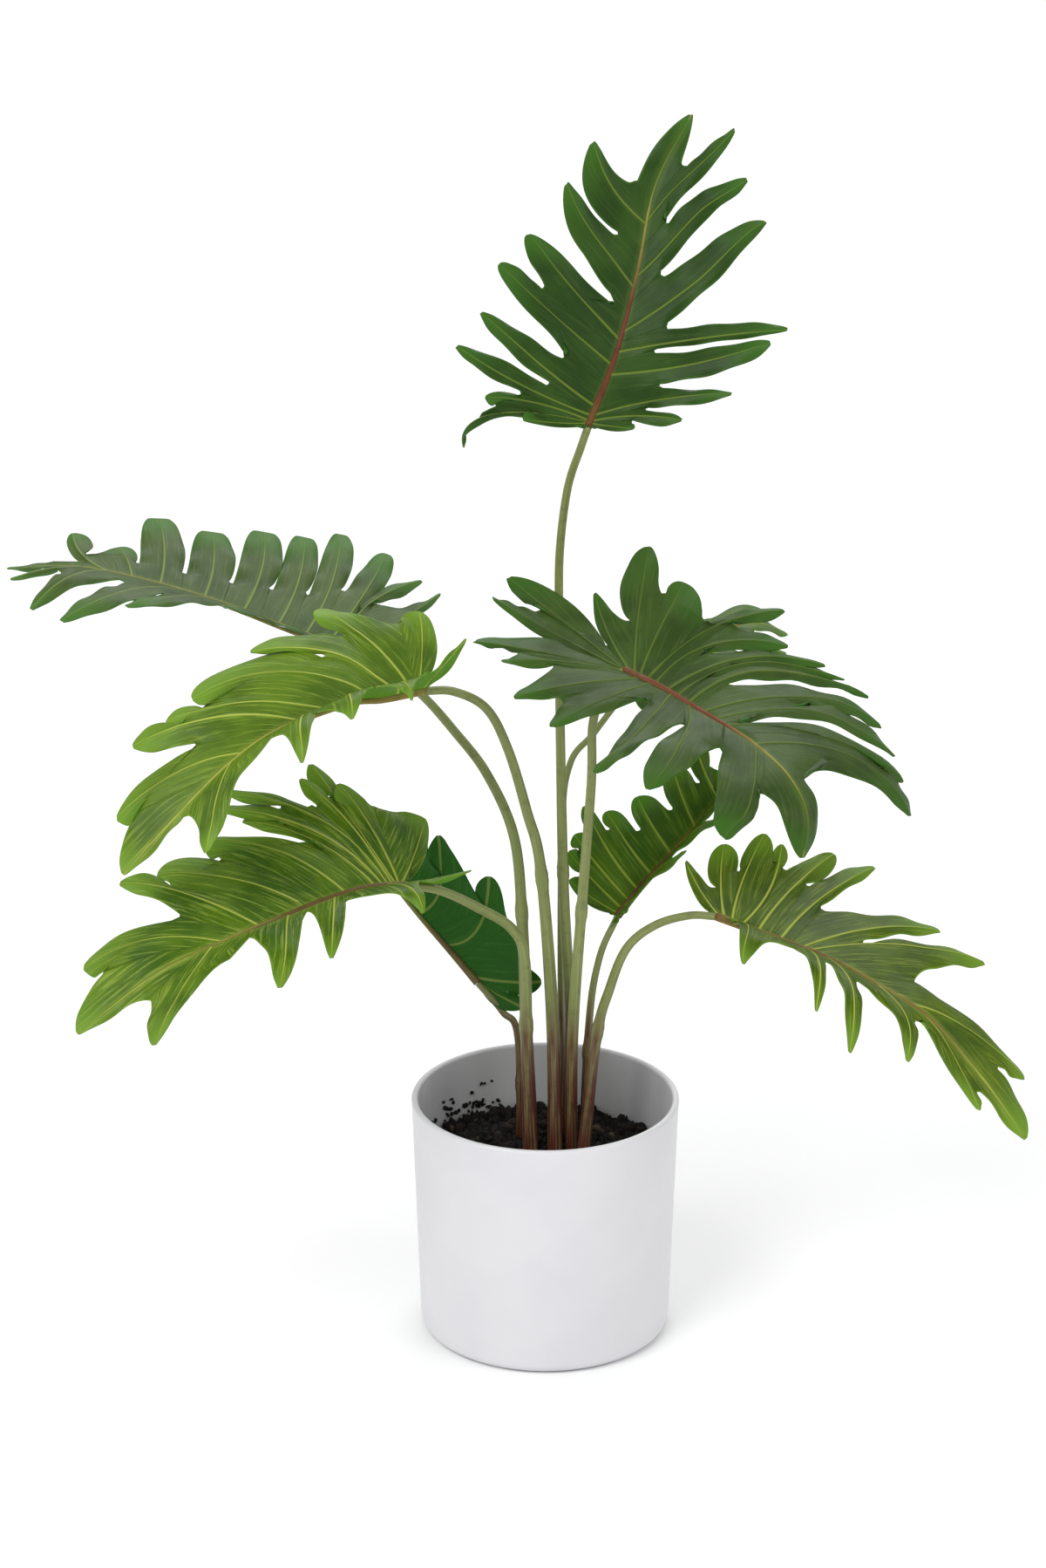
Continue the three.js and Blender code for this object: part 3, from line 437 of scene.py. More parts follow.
@dataclass
class Vein:
    """A lobe's side vein: a quadratic curve whose middle handle is turned by the sweep.

    Its points are root (1 - t)^2 + 2 handle t (1 - t) + tip t^2, the handle lying halfway
    along a straight vein that is turned by the sweep, in degrees.
    """

    root: Span
    tip: Span
    sweep: float
    samples: int = 61
    line: Array = field(init=False)
    normals: Array = field(init=False)
    run: Array = field(init=False)

    def __post_init__(self) -> None:
        """Samples the curve, its left normals and the distance along it."""
        start, end = np.array(self.root, float), np.array(self.tip, float)
        turn = math.radians(self.sweep)
        c, s = math.cos(turn), math.sin(turn)
        handle = start + np.array([[c, -s], [s, c]]) @ (end - start) * 0.5
        t = np.linspace(0, 1, self.samples)[:, None]
        self.line = start * (1 - t) ** 2 + 2 * handle * t * (1 - t) + end * t**2
        slope = unit(np.gradient(self.line, axis=0))
        self.normals = np.stack([-slope[:, 1], slope[:, 0]], axis=-1)
        self.run = run_of(self.line)

    def beside(self, distance: Array | float, offset: float = 0.0) -> Array:
        """The points at distances along the vein and an offset to its left."""
        return read_along(distance, self.run, self.line + offset * self.normals)

    def normal_at(self, distance: Array | float) -> Array:
        """The left normals at distances along the vein, not quite of length one."""
        return read_along(distance, self.run, self.normals)

    def nearest(self, point: Array) -> int:
        """The number of the sample that lies nearest to a point."""
        return int(np.argmin(np.linalg.norm(self.line - point, axis=1)))

    def clearance(self, point: Array, side: int) -> float:
        """How far a point lies off the vein on a side: 1 for its left, -1 for its right."""
        i = self.nearest(point)
        return side * float(np.dot(point - self.line[i], self.normals[i]))

    def freedom(self, foot: float, notch: Array, side: int) -> float:
        """The notch's clearance, or twice that of the middle of its web if that is less."""
        middle = (np.array([foot, 0.0]) + notch) / 2
        return min(self.clearance(notch, side), 2 * self.clearance(middle, side))


class Edge(NamedTuple):
    """One edge of a lobe: its points, and the vein's distance at each and at the notch."""

    points: Array
    run: Array
    notch_run: float


@dataclass
class LobeFlat:
    """A lobe laid out flat: the points of its vein and of its edges at matching stations.

    Its edges are keyed by the side they lie on, -1 nearer the stalk and 1 away from it. A
    station lies at the mean of the distances along the vein that its edges have there.
    """

    row: Lobe
    half: Half
    number: int
    vein: Vein
    edges: dict[int, Edge]
    reach: float
    run: Array = field(init=False)
    notch_run: float = field(init=False)
    line: Array = field(init=False)

    def __post_init__(self) -> None:
        """Works out the stations."""
        self.run = np.mean([edge.run for edge in self.edges.values()], axis=0)
        self.run[-1] = self.vein.run[-1]
        self.notch_run = float(np.mean([edge.notch_run for edge in self.edges.values()]))
        self.line = self.vein.beside(self.run)


@dataclass
class Blade:
    """A cut leaf: its midrib in space, the way its face looks, and its cutting pattern."""

    name: str
    finish: LeafFinish
    midrib: list[Point]
    face: tuple[Point, Point]
    fold: dict[Half, list[float]]
    sweep: dict[Half, float]
    end: Lobe
    lobes: dict[Half, list[Lobe]]
    # The grid: steps along the web and the free margin, across a lobe, and in a bend.
    web_steps: int = 10
    free_steps: int = 26
    crowding: float = 1.1
    across: tuple[float, ...] = (0.0, 0.05, 0.11, 0.2, 0.34, 0.5, 0.66, 0.8, 0.92, 1.0)
    bend_steps: int = 12
    # The outline: notches, shoulders, and how far veins keep off the notches.
    notch_radius: float = 1.4
    notch_share: float = 0.45
    notch_least: float = 1e-9
    notch_span: Span = (0.06, 0.9)
    first_notch: Span = (3.5, 2.0)
    least_half: float = 0.8
    shoulder: float = 0.22
    vein_clearance: float = 1.6
    sweep_step: int = 3
    sweep_tries: int = 16
    parting: float = 0.35
    # The relief, in millimetres.
    thickness: float = 0.6
    arch: float = 1.3
    arch_middle: float = 0.2
    arch_start: float = 6.0
    ripple: float = 0.7
    ripple_pitch: float = 3.6
    ripple_shift: float = 1.9
    vein_ridge: float = 0.22
    vein_width: float = 0.9
    tip_fade: float = 9.0
    # The midrib's tube.
    rib_rings: int = 120
    rib_around: int = 20
    rib_ends: Span = (-0.2, 1.0)
    rib_radius: float = 2.1
    rib_taper: float = 1.6
    rib_power: float = 0.8
    # How far a lobe's and a half's finish is moved along and across, and the rib's is spread.
    uv_shift: Span = (37.0, 19.0)
    rib_uv: float = 10.0
    route: Route = field(init=False)

    def __post_init__(self) -> None:
        """Works out the midrib's line."""
        self.route = Route(self.midrib)

    def frame_at(self, along: Array) -> tuple[Array, Array, Array]:
        """Points on the midrib with the face's normal and the rightward side there.

        Beyond either end the midrib runs on straight. The normal is the way the face looks,
        which changes evenly along the midrib, less its share along the midrib.

        Args:
            along: distances along the midrib.

        Returns:
            The points, the normals and the sides.
        """
        held = np.clip(along, 0, self.route.length)
        share = (held / self.route.length)[..., None]
        point, tangent = self.route.read(held)
        first, last = np.array(self.face, float)
        looks = first * (1 - share) + last * share
        normal = unit(looks - (looks * tangent).sum(-1, keepdims=True) * tangent)
        return point + tangent * (along - held)[..., None], normal, np.cross(tangent, normal)

    def place(self, flat: Array, lobe: LobeFlat) -> Array:
        """Carries flat points, (along, out), to their places in space as parts of a lobe.

        Each goes out from the midrib along an arc whose angle starts at the fold's and
        grows by the lobe's droop times the square of its share of the lobe's reach.

        Args:
            flat: points of the cutting pattern.
            lobe: the lobe whose bend they take.

        Returns:
            The points in space, in millimetres.
        """
        point, normal, side = self.frame_at(flat[..., 0])
        hand, angles = lobe.half.value, self.fold[lobe.half]
        out = hand * flat[..., 1][..., None]
        share = np.clip(flat[..., 0] / self.route.length, 0, 1)
        fold = np.interp(share, np.linspace(0, 1, len(angles)), angles)[..., None]
        steps = (np.arange(self.bend_steps) + 0.5) / self.bend_steps
        turn = np.radians(fold + lobe.row.droop * (out * steps / lobe.reach) ** 2)
        sideways = hand * out * np.cos(turn).mean(-1, keepdims=True)
        return point + side * sideways + normal * out * np.sin(turn).mean(-1, keepdims=True)

    def edge(
        self, vein: Vein, start: float, notch: Array, blunt: float, half: float, side: int
    ) -> Edge:
        """One edge of a lobe: straight from the midrib to the notch, then its margin.

        The margin is a cubic from the notch to the tip in the vein's own distances, with
        a round start, a quarter circle of the notch radius, let into it.

        Args:
            vein: the lobe's side vein.
            start: where the edge leaves the midrib.
            notch: the notch it passes.
            blunt: how pointed the tip is.
            half: the half width on this side.
            side: 1 for the vein's left side, -1 for its right.

        Returns:
            The edge.
        """
        whole = vein.run[-1]
        low, high = self.notch_span
        begin = float(np.clip(vein.run[vein.nearest(notch)], low * whole, high * whole))
        wide = side * float(np.dot(notch - vein.beside(begin), vein.normal_at(begin)))
        wide = max(wide, self.least_half)
        free = whole - begin
        shoulders = [[begin + self.shoulder * free, half], [whole - blunt * free, half]]
        corners = np.array([[begin, wide], *shoulders, [whole, 0]])
        t = (np.linspace(0, 1, self.free_steps + 1) ** self.crowding)[:, None]
        weights = np.hstack([(1 - t) ** 3, 3 * t * (1 - t) ** 2, 3 * t * t * (1 - t), t**3])
        s, h = (weights @ corners).T
        radius = min(self.notch_radius, self.notch_share * wide) + self.notch_least
        past = np.clip((s - begin) / radius, 0, 1)
        fade = np.clip(1 - (s - begin) / free, 0, 1) * np.clip(h / radius, 0, 1)
        h = h - radius * np.sqrt(1 - (1 - past) ** 2) * fade
        margin = vein.beside(s) + side * h[:, None] * unit(vein.normal_at(s))
        margin[0] = notch
        steps = np.linspace(0, 1, self.web_steps, endpoint=False)[:, None]
        foot = np.array([start, 0.0])
        web = foot + (notch - foot) * steps
        return Edge(np.vstack([web, margin]), np.concatenate([begin * steps[:, 0], s]), begin)

    def vein_of(self, row: Lobe, hand: int, webs: list[tuple[float, Array]]) -> Vein:
        """A lobe's vein, swept so that both webs beside it stay clear of it.

        Of sweeps a step apart, it is the one nearest the leaf's own for which each notch
        keeps the clearance from the vein on its own side, and the middle of the straight
        web to it half of that, or else the clearest.

        Args:
            row: the lobe.
            hand: 1 on the right half, -1 on the left.
            webs: for the near and the far side, the web's foot on the midrib and its notch.

        Returns:
            The vein.
        """
        tip = (row.tip_along, row.tip_out * hand)
        own = self.sweep[Half(hand)]
        best, most = None, -math.inf
        for step in sorted(range(-self.sweep_tries, self.sweep_tries + 1), key=abs):
            vein = Vein((row.root, 0.0), tip, (own + self.sweep_step * step) * hand)
            clear = min(vein.freedom(*web, side * hand) for web, side in zip(webs, (1, -1)))
            if clear >= self.vein_clearance:
                return vein
            if clear > most:
                best, most = vein, clear
        return best

    def flats(self, half: Half) -> list[LobeFlat]:
        """Lays out the lobes of one half, from the stalk to the end lobe on the midrib.

        Args:
            half: which half.

        Returns:
            Its lobes in order. The end lobe has one edge here, as it has on the other half.
        """
        hand = half.value
        rows = [*self.lobes[half], self.end]
        notches = [np.array([row.notch_along, row.notch_out * hand]) for row in rows[:-1]]
        starts = [0.0] + [(a.root + b.root) / 2 for a, b in zip(rows, rows[1:])]
        first, offset = self.first_notch
        laid = []
        for j, row in enumerate(rows[:-1]):
            straight = Vein((row.root, 0.0), (row.tip_along, row.tip_out * hand), 0.0)
            passed = notches[j - 1] if j else straight.beside(first, offset * hand)
            vein = self.vein_of(row, hand, [(starts[j], passed), (starts[j + 1], notches[j])])
            passed = notches[j - 1] if j else vein.beside(first, offset * hand)
            wider, slimmer = row.half * (1 + row.fuller), row.half * (1 - row.fuller)
            near = self.edge(vein, starts[j], passed, row.blunt, wider, hand)
            far = self.edge(vein, starts[j + 1], notches[j], row.blunt, slimmer, -hand)
            reach = max(row.tip_out, 1.0)
            laid.append(LobeFlat(row, half, j, vein, {-1: near, 1: far}, reach))
        vein = Vein((self.end.root, 0.0), (self.route.length, 0.0), 0.0)
        wide = self.end.half * (1 - hand * self.end.fuller)
        near = self.edge(vein, starts[-1], notches[-1], self.end.blunt, wide, hand)
        laid.append(LobeFlat(self.end, half, len(laid), vein, {-1: near}, math.inf))
        return laid

    def half_sheets(self, half: Half) -> list[Sheet]:
        """Surfaces of one half's lobes, each a grid of stations by columns.

        A column lies at its share of the way from the vein to an edge. Neighbours meet
        halfway between their own two bends along the web, and part over the first third
        of the margin; the difference fades towards the vein with the share squared.

        Args:
            half: which half.

        Returns:
            A surface for each side of each lobe.
        """
        laid = self.flats(half)
        parted = np.clip(np.linspace(0, 1, self.free_steps + 1) / self.parting, 0, 1)
        own_weight = np.concatenate([np.full(self.web_steps, 0.5), 0.5 + 0.5 * parted])
        c = np.array(self.across)[None, :, None]
        sheets = []
        for lobe in laid:
            for side, edge in lobe.edges.items():
                neighbour = laid[max(lobe.number + side, 0)]
                theirs, own = self.place(edge.points, neighbour), self.place(edge.points, lobe)
                shift = (1 - own_weight)[:, None] * (theirs - own)
                flat = lobe.line[:, None] * (1 - c) + edge.points[:, None] * c
                points = self.place(flat, lobe) + shift[:, None] * c**2
                sheets.append(self.strip(points, flat, lobe, side))
        return sheets

    def strip(self, points: Array, flat: Array, lobe: LobeFlat, side: int) -> Sheet:
        """Makes a strip's surface with its distances to the vein, the midrib and the margin.

        Args:
            points: its grid of points in space, stations by columns.
            flat: the same points on the cutting pattern.
            lobe: the lobe it belongs to.
            side: the side of the lobe it lies on.

        Returns:
            The strip, with what the relief and the finish need at each point.
        """
        size = points.shape[:2]
        shares = np.broadcast_to(self.across, size)
        run = np.broadcast_to(lobe.run[:, None], size)
        wide = np.linalg.norm(lobe.edges[side].points - lobe.line, axis=1)[:, None]
        values = {
            "vein_gap": wide * shares,
            "along": run / lobe.run[-1],
            "rib_gap": np.hypot(flat[..., 1], np.minimum(flat[..., 0], 0)),
            "edge_gap": wide * (1 - shares) + np.maximum(lobe.notch_run - run, 0),
            "share": shares * smooth_step(run, 0, lobe.notch_run + self.arch_start),
            "beat": np.sin(run / self.ripple_pitch + self.ripple_shift * lobe.number + side),
            "fade": smooth_step(lobe.run[-1] - run, 0, self.tip_fade),
        }
        by_lobe, by_half = self.uv_shift
        out = side * values["vein_gap"] + by_half * lobe.half.value
        uv = paired(run + by_lobe * lobe.number, out).reshape(-1, 2) / UV_MM
        values = {key: kept.ravel() for key, kept in values.items()}
        _, normal, _ = self.frame_at(flat[..., 0].ravel())
        return Sheet(points.reshape(-1, 3), grid_faces(*size), values, uv).facing(normal)

    def surface(self) -> Sheet:
        """The whole blade as one closed skin.

        The middle surface is raised by its relief along its normals: the lobes arch, and
        their margins ripple with the distance along the vein, and the relief fades out
        towards each lobe's tip, where all its points meet. The two faces lie half the
        thickness to either side, and a rim runs round a bit beyond the open border.

        Returns:
            The skin.
        """
        parts = self.half_sheets(Half.LEFT) + self.half_sheets(Half.RIGHT)
        middle = stacked(parts).joined(JOIN_MM)
        share, beat, fade = (middle.values.pop(key) for key in ("share", "beat", "fade"))
        ridge = self.vein_ridge * bell(middle.values["vein_gap"], self.vein_width)
        relief = -self.arch * (share**2 - self.arch_middle)
        relief = relief + self.ripple * share**3 * beat + ridge
        middle.points = middle.points + middle.normals() * (relief * fade)[:, None]
        return middle.thickened(self.thickness)

    def rib(self) -> Sheet:
        """The midrib: a tube that slims to the tip.

        Its radius falls by the taper times the share of the length to the rib's power.

        Returns:
            The tube, closed at both ends.
        """
        before, short = self.rib_ends
        along = np.linspace(before, self.route.length - short, self.rib_rings)
        centre, normal, side = self.frame_at(along)
        share = np.clip(along / self.route.length, 0, 1)[:, None]
        turn = full_turn(self.rib_around)
        radius = self.rib_radius - self.rib_taper * share**self.rib_power
        rings = ringed(centre, side, normal, radius, turn)
        uv = paired(along[:, None] / UV_MM, np.sin(turn) / self.rib_uv)
        return capped(rings, {"along": share}, uv)

    def build(self) -> list[Piece]:
        """Makes the blade and its midrib, in place of the solid blade.

        Returns:
            The two pieces.
        """
        finish = self.finish
        blade = make_piece(f"leaf_{self.name}", self.surface(), finish.material())
        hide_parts(f"blade_{self.name}")
        rib = make_piece(f"midrib_{self.name}", self.rib(), finish.rib_material())
        return [blade, rib]


@dataclass
class Stalk:
    """A leaf's stalk: thick at its foot in the soil, with one knuckle, slim at its leaf."""

    name: str
    path: list[Point]
    foot: float
    top: float
    knuckle: float
    rings: int = 200
    around: int = 28
    short: float = 0.35
    power: float = 0.7
    # The knuckle's swelling and the mark round it, each a height and a width.
    swelling: Span = (0.7, 4.0)
    mark: Span = (0.25, 0.9)
    # The ridges' share of the radius, number and twist; the dent's share, angle and breadth.
    ridges: Point = (0.018, 7, 2)
    dent: Point = (0.06, 3.6, 0.2)

    def surface(self) -> Sheet:
        """The stalk's skin: rings square to its line, carried along without turning.

        The radius goes from foot to top with the share of the length to the given power,
        with a bell-shaped swelling at the knuckle, a faint dent along its inner side and
        seven shallow ridges round it.

        Returns:
            The skin, closed at both ends.
        """
        route = Route(self.path)
        along = np.linspace(0, route.length - self.short, self.rings)
        centre, tangent = route.read(along)
        side = np.cross(tangent, np.array([0.0, 1.0, 0.0]))
        side = unit(side - (side * tangent).sum(-1, keepdims=True) * tangent)
        height = centre[:, 2:]
        share = (along / route.length)[:, None]
        turn = full_turn(self.around)[None]
        (swell, swell_width), (cut, cut_width) = self.swelling, self.mark
        radius = self.foot + (self.top - self.foot) * share**self.power
        radius = radius + swell * bell(height - self.knuckle, swell_width)
        radius = radius - cut * bell(height - self.knuckle, cut_width)
        (ridge, number, twist), (depth, at, breadth) = self.ridges, self.dent
        waves = ridge * np.cos(number * turn + twist * share)
        radius = radius * (1 + waves - depth * np.exp(-((turn - at) ** 2) / breadth))
        rings = ringed(centre, side, np.cross(tangent, side), radius, turn)
        return capped(rings, {"height": height}, paired(along[:, None] / UV_MM, turn / UV_TURN))

    def build(self, finish: StalkFinish) -> Piece:
        """Makes the stalk in place of the solid one.

        Args:
            finish: the stalks' finish.

        Returns:
            The piece.
        """
        piece = make_piece(f"stem_{self.name}", self.surface(), finish.material())
        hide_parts(f"stalk_{self.name}")
        return piece


class Nodes:
    """Short ways to lay out the nodes of a material or a node group."""

    def __init__(self, tree: bpy.types.NodeTree) -> None:
        """Starts on an empty tree."""
        self.tree = tree
        tree.nodes.clear()

    def add(self, kind: str, **settings: object) -> bpy.types.Node:
        """Adds a node and sets its own properties."""
        node = self.tree.nodes.new(kind)
        for key, value in settings.items():
            setattr(node, key, value)
        return node

    def join(self, source: Socket, target: Socket) -> None:
        """Links an output to an input."""
        self.tree.links.new(source, target)

    def feed(self, target: Socket, value: object) -> None:
        """Links a socket to an input, or sets a plain value on it."""
        if isinstance(value, Socket):
            self.join(value, target)
        else:
            target.default_value = value

    def value(self, name: str) -> Socket:
        """A value that the piece keeps at its points."""
        return self.add("ShaderNodeAttribute", attribute_name=name).outputs["Fac"]

    def maths(self, operation: str, *inputs: object) -> Socket:
        """A sum, product or other step on numbers."""
        node = self.add("ShaderNodeMath", operation=operation)
        for target, value in zip(node.inputs, inputs):
            self.feed(target, value)
        return node.outputs[0]

    def times(self, first: object, second: object) -> Socket:
        """The product of two numbers."""
        return self.maths("MULTIPLY", first, second)

    def plus(self, first: object, second: object) -> Socket:
        """The sum of two numbers."""
        return self.maths("ADD", first, second)

    def swing(self, value: Socket, amount: float) -> Socket:
        """A noise, less its middle of one half, times an amount."""
        return self.times(self.maths("SUBTRACT", value, 0.5), amount)

    def ramp(self, value: Socket, span: tuple[object, object], result: Span = (0, 1)) -> Socket:
        """Carries a number smoothly from one span to another, held at its ends."""
        node = self.add("ShaderNodeMapRange", interpolation_type="SMOOTHSTEP", clamp=True)
        names = ("Value", "From Min", "From Max", "To Min", "To Max")
        for name, item in zip(names, (value, *span, *result)):
            self.feed(node.inputs[name], item)
        return node.outputs[0]

    def blend(self, share: object, first: Socket, second: object, kind: str = "MIX") -> Socket:
        """Mixes two colours by a share."""
        node = self.add("ShaderNodeMix", data_type="RGBA", blend_type=kind)
        for i, item in ((0, share), (6, first), (7, second)):
            self.feed(node.inputs[i], item)
        return node.outputs[2]

    def noise(self, where: Socket, scale: float, detail: float, rough: float = 0.55) -> Socket:
        """Soft noise, a number about one half."""
        node = self.add("ShaderNodeTexNoise")
        self.join(where, node.inputs["Vector"])
        for name, item in (("Scale", scale), ("Detail", detail), ("Roughness", rough)):
            node.inputs[name].default_value = item
        return node.outputs[0]

    def fibres(self, where: Socket, scale: Point, detail: float, rough: float = 0.55) -> Socket:
        """Soft noise scaled by a different amount each way."""
        node = self.add("ShaderNodeMapping")
        self.join(where, node.inputs["Vector"])
        node.inputs["Scale"].default_value = scale
        return self.noise(node.outputs[0], 1.0, detail, rough)

    def surface_place(self) -> Socket:
        """The piece's own UV map."""
        return self.add("ShaderNodeUVMap", uv_map="surface").outputs[0]

    def object_place(self) -> Socket:
        """Object coordinates, in metres."""
        return self.add("ShaderNodeTexCoord").outputs["Object"]


class Marks(Nodes):
    """A node group that gives a finish its colour, its roughness and its height."""

    def __init__(self, name: str, colours: list[str], numbers: tuple[str, ...] = ()) -> None:
        """Starts the group.

        Args:
            name: the group's name.
            colours: the names of the colours it is given.
            numbers: the names of the numbers it is given.
        """
        super().__init__(bpy.data.node_groups.new(name, "ShaderNodeTree"))
        colour, number = "NodeSocketColor", "NodeSocketFloat"
        given = [(key, colour) for key in colours] + [(key, number) for key in numbers]
        for key, kind in given:
            self.tree.interface.new_socket(key, in_out="INPUT", socket_type=kind)
        for key, kind in (("Colour", colour), ("Roughness", number), ("Height", number)):
            self.tree.interface.new_socket(key, in_out="OUTPUT", socket_type=kind)
        self.given = self.add("NodeGroupInput").outputs

    def finished(self, colour: Socket, roughness: Socket, height: Socket) -> bpy.types.NodeTree:
        """Joins the results to the group's outputs.

        Args:
            colour: the surface's colour.
            roughness: its roughness.
            height: its relief, about 0 to 1.

        Returns:
            The group's tree.
        """
        out = self.add("NodeGroupOutput").inputs
        for key, source in (("Colour", colour), ("Roughness", roughness), ("Height", height)):
            self.join(source, out[key])
        return self.tree


@cache
def leaf_marks() -> bpy.types.NodeTree:
    """A leaf: body, streaks beside the side veins, veins, margin and underside."""
    colours = ["Body", "Deep", "Streak", "Vein", "Margin", "Under", "Under Vein"]
    nodes = Marks("leaf marks", colours, ("Streak Amount", "Vein Amount", "Gloss"))
    given, place, space = nodes.given, nodes.surface_place(), nodes.object_place()
    keys = ("vein_gap", "along", "rib_gap", "edge_gap", "under")
    vein_gap, along, rib_gap, edge_gap, under = map(nodes.value, keys)

    cloud = nodes.noise(space, scale=42.0, detail=3.0)
    body = nodes.blend(nodes.ramp(cloud, (0.35, 0.65)), given["Body"], given["Deep"])

    lines = nodes.fibres(place, scale=(3.2, 62.0, 1.0), detail=4.0, rough=0.6)
    fine = nodes.fibres(place, scale=(9.0, 190.0, 1.0), detail=2.0)
    streak = nodes.times(nodes.ramp(lines, (0.48, 0.64)), nodes.ramp(fine, (0.35, 0.6)))
    body = nodes.blend(nodes.times(streak, given["Streak Amount"]), body, given["Streak"])

    width = nodes.ramp(along, (0.0, 1.0), (0.95, 0.4))
    vein = nodes.ramp(vein_gap, (nodes.times(width, 0.2), width), (1.0, 0.0))
    body = nodes.blend(nodes.ramp(rib_gap, (1.5, 3.4), (0.16, 0.0)), body, given["Vein"])
    above = nodes.blend(nodes.times(vein, given["Vein Amount"]), body, given["Vein"])

    margin = nodes.ramp(edge_gap, (0.0, 0.9), (0.55, 0.0))
    tips = nodes.ramp(along, (0.6, 1.0), (0.0, 0.75))
    tips = nodes.times(tips, nodes.ramp(cloud, (0.3, 0.55), (0.6, 1.0)))
    above = nodes.blend(nodes.maths("MAXIMUM", margin, tips), above, given["Margin"])

    pale = nodes.ramp(lines, (0.5, 0.7), (0.0, 0.35))
    below = nodes.blend(pale, given["Under"], given["Margin"])
    below = nodes.blend(nodes.ramp(vein_gap, (0.4, 1.1), (0.9, 0.0)), below, given["Under Vein"])
    colour = nodes.blend(nodes.ramp(under, (0.45, 0.75)), above, below)

    patches = nodes.noise(space, scale=150.0, detail=2.0)
    rough = nodes.plus(given["Gloss"], nodes.swing(patches, 0.22))
    rough = nodes.plus(rough, nodes.times(vein, 0.1))
    grain = nodes.plus(nodes.times(lines, 0.6), nodes.times(fine, 0.25))
    grain = nodes.plus(grain, nodes.times(vein, 0.5))
    pores = nodes.noise(space, scale=1300.0, detail=1.0)
    return nodes.finished(colour, rough, nodes.plus(grain, nodes.times(pores, 0.12)))


@cache
def fibre_marks() -> bpy.types.NodeTree:
    """A stalk or rib: long fibres, paler and darker, with a faint relief."""
    nodes = Marks("fibre marks", ["Foot", "Upper", "Fibre"], ("Turn", "Amount"))
    given, place = nodes.given, nodes.surface_place()
    lines = nodes.fibres(place, scale=(2.4, 16.0, 1.0), detail=4.0, rough=0.6)
    fine = nodes.fibres(place, scale=(14.0, 60.0, 1.0), detail=2.0)
    body = nodes.blend(given["Turn"], given["Foot"], given["Upper"])
    share = nodes.times(nodes.ramp(lines, (0.45, 0.68)), given["Amount"])
    body = nodes.blend(share, body, given["Fibre"])
    dark = nodes.noise(nodes.object_place(), scale=210.0, detail=3.0)
    darker = nodes.blend(1.0, body, (0.45, 0.42, 0.4, 1.0), "MULTIPLY")
    body = nodes.blend(nodes.ramp(dark, (0.5, 0.75), (0.0, 0.45)), body, darker)
    rough = nodes.ramp(fine, (0.3, 0.7), (0.36, 0.56))
    return nodes.finished(body, rough, nodes.plus(lines, nodes.times(fine, 0.4)))


@cache
def glaze_marks() -> bpy.types.NodeTree:
    """A glaze: a faint cloud of tone, specks and a fine orange-peel relief."""
    nodes = Marks("glaze marks", ["Glaze", "Shade"])
    given, space = nodes.given, nodes.object_place()
    cloud = nodes.noise(space, scale=16.0, detail=3.0)
    speck = nodes.noise(space, scale=900.0, detail=2.0)
    peel = nodes.noise(space, scale=420.0, detail=2.0)
    turned = nodes.fibres(space, scale=(6.0, 6.0, 260.0), detail=2.0)
    tone = nodes.blend(nodes.ramp(cloud, (0.3, 0.7), (0.0, 0.8)), given["Glaze"], given["Shade"])
    tone = nodes.blend(nodes.ramp(speck, (0.66, 0.74), (0.0, 0.18)), tone, given["Shade"])
    rough = nodes.ramp(peel, (0.3, 0.7), (0.36, 0.46))
    return nodes.finished(tone, rough, nodes.plus(peel, nodes.times(turned, 0.5)))


@cache
def soil_marks() -> bpy.types.NodeTree:
    """Soil: dark and brown patches, grainy; the value "tone" picks out paler crumbs."""
    nodes = Marks("soil marks", ["Dark", "Brown", "Fleck"])
    given, space = nodes.given, nodes.object_place()
    grains = nodes.noise(space, scale=520.0, detail=5.0, rough=0.7)
    patches = nodes.noise(space, scale=130.0, detail=3.0)
    colour = nodes.blend(nodes.ramp(patches, (0.42, 0.68)), given["Dark"], given["Brown"])
    pale = nodes.ramp(nodes.value("tone"), (0.93, 0.97), (0.0, 0.8))
    colour = nodes.blend(pale, colour, given["Fleck"])
    return nodes.finished(colour, nodes.ramp(grains, (0.3, 0.7), (0.75, 0.98)), grains)


@dataclass(frozen=True)
class Finish:
    """What every finish shares: a Principled shader fed by marks that vary over the surface."""

    name: str

    def paints(self, *keys: str) -> dict[str, object]:
        """The finish's colours of these names as light, under the names its marks know."""
        return {key.replace("_", " ").title(): linear(getattr(self, key)) for key in keys}

    def dressed(
        self,
        marks: bpy.types.NodeTree,
        inputs: dict[str, object],
        relief: float,
        gloss: dict[str, float],
    ) -> Material:
        """Makes the material once, with a group of marks and its relief as a bump.

        Args:
            marks: the node group that gives colour, roughness and height.
            inputs: what its sockets are set to, or a way to make a link for them.
            relief: the bump's distance, in metres.
            gloss: plain values for the shader's own sockets.

        Returns:
            The material.
        """
        found = bpy.data.materials.get(self.name)
        if found:
            return found
        material = bpy.data.materials.new(self.name)
        material.use_nodes = True
        nodes = Nodes(material.node_tree)
        group = nodes.add("ShaderNodeGroup", node_tree=marks)
        for key, value in inputs.items():
            nodes.feed(group.inputs[key], value(nodes) if callable(value) else value)
        shader = nodes.add("ShaderNodeBsdfPrincipled")
        bump = nodes.add("ShaderNodeBump")
        bump.inputs["Distance"].default_value = relief
        nodes.join(group.outputs["Height"], bump.inputs["Height"])
        nodes.join(group.outputs["Colour"], shader.inputs["Base Color"])
        nodes.join(group.outputs["Roughness"], shader.inputs["Roughness"])
        nodes.join(bump.outputs[0], shader.inputs["Normal"])
        for key, value in gloss.items():
            shader.inputs[key].default_value = value
        nodes.join(shader.outputs[0], nodes.add("ShaderNodeOutputMaterial").inputs["Surface"])
        return material


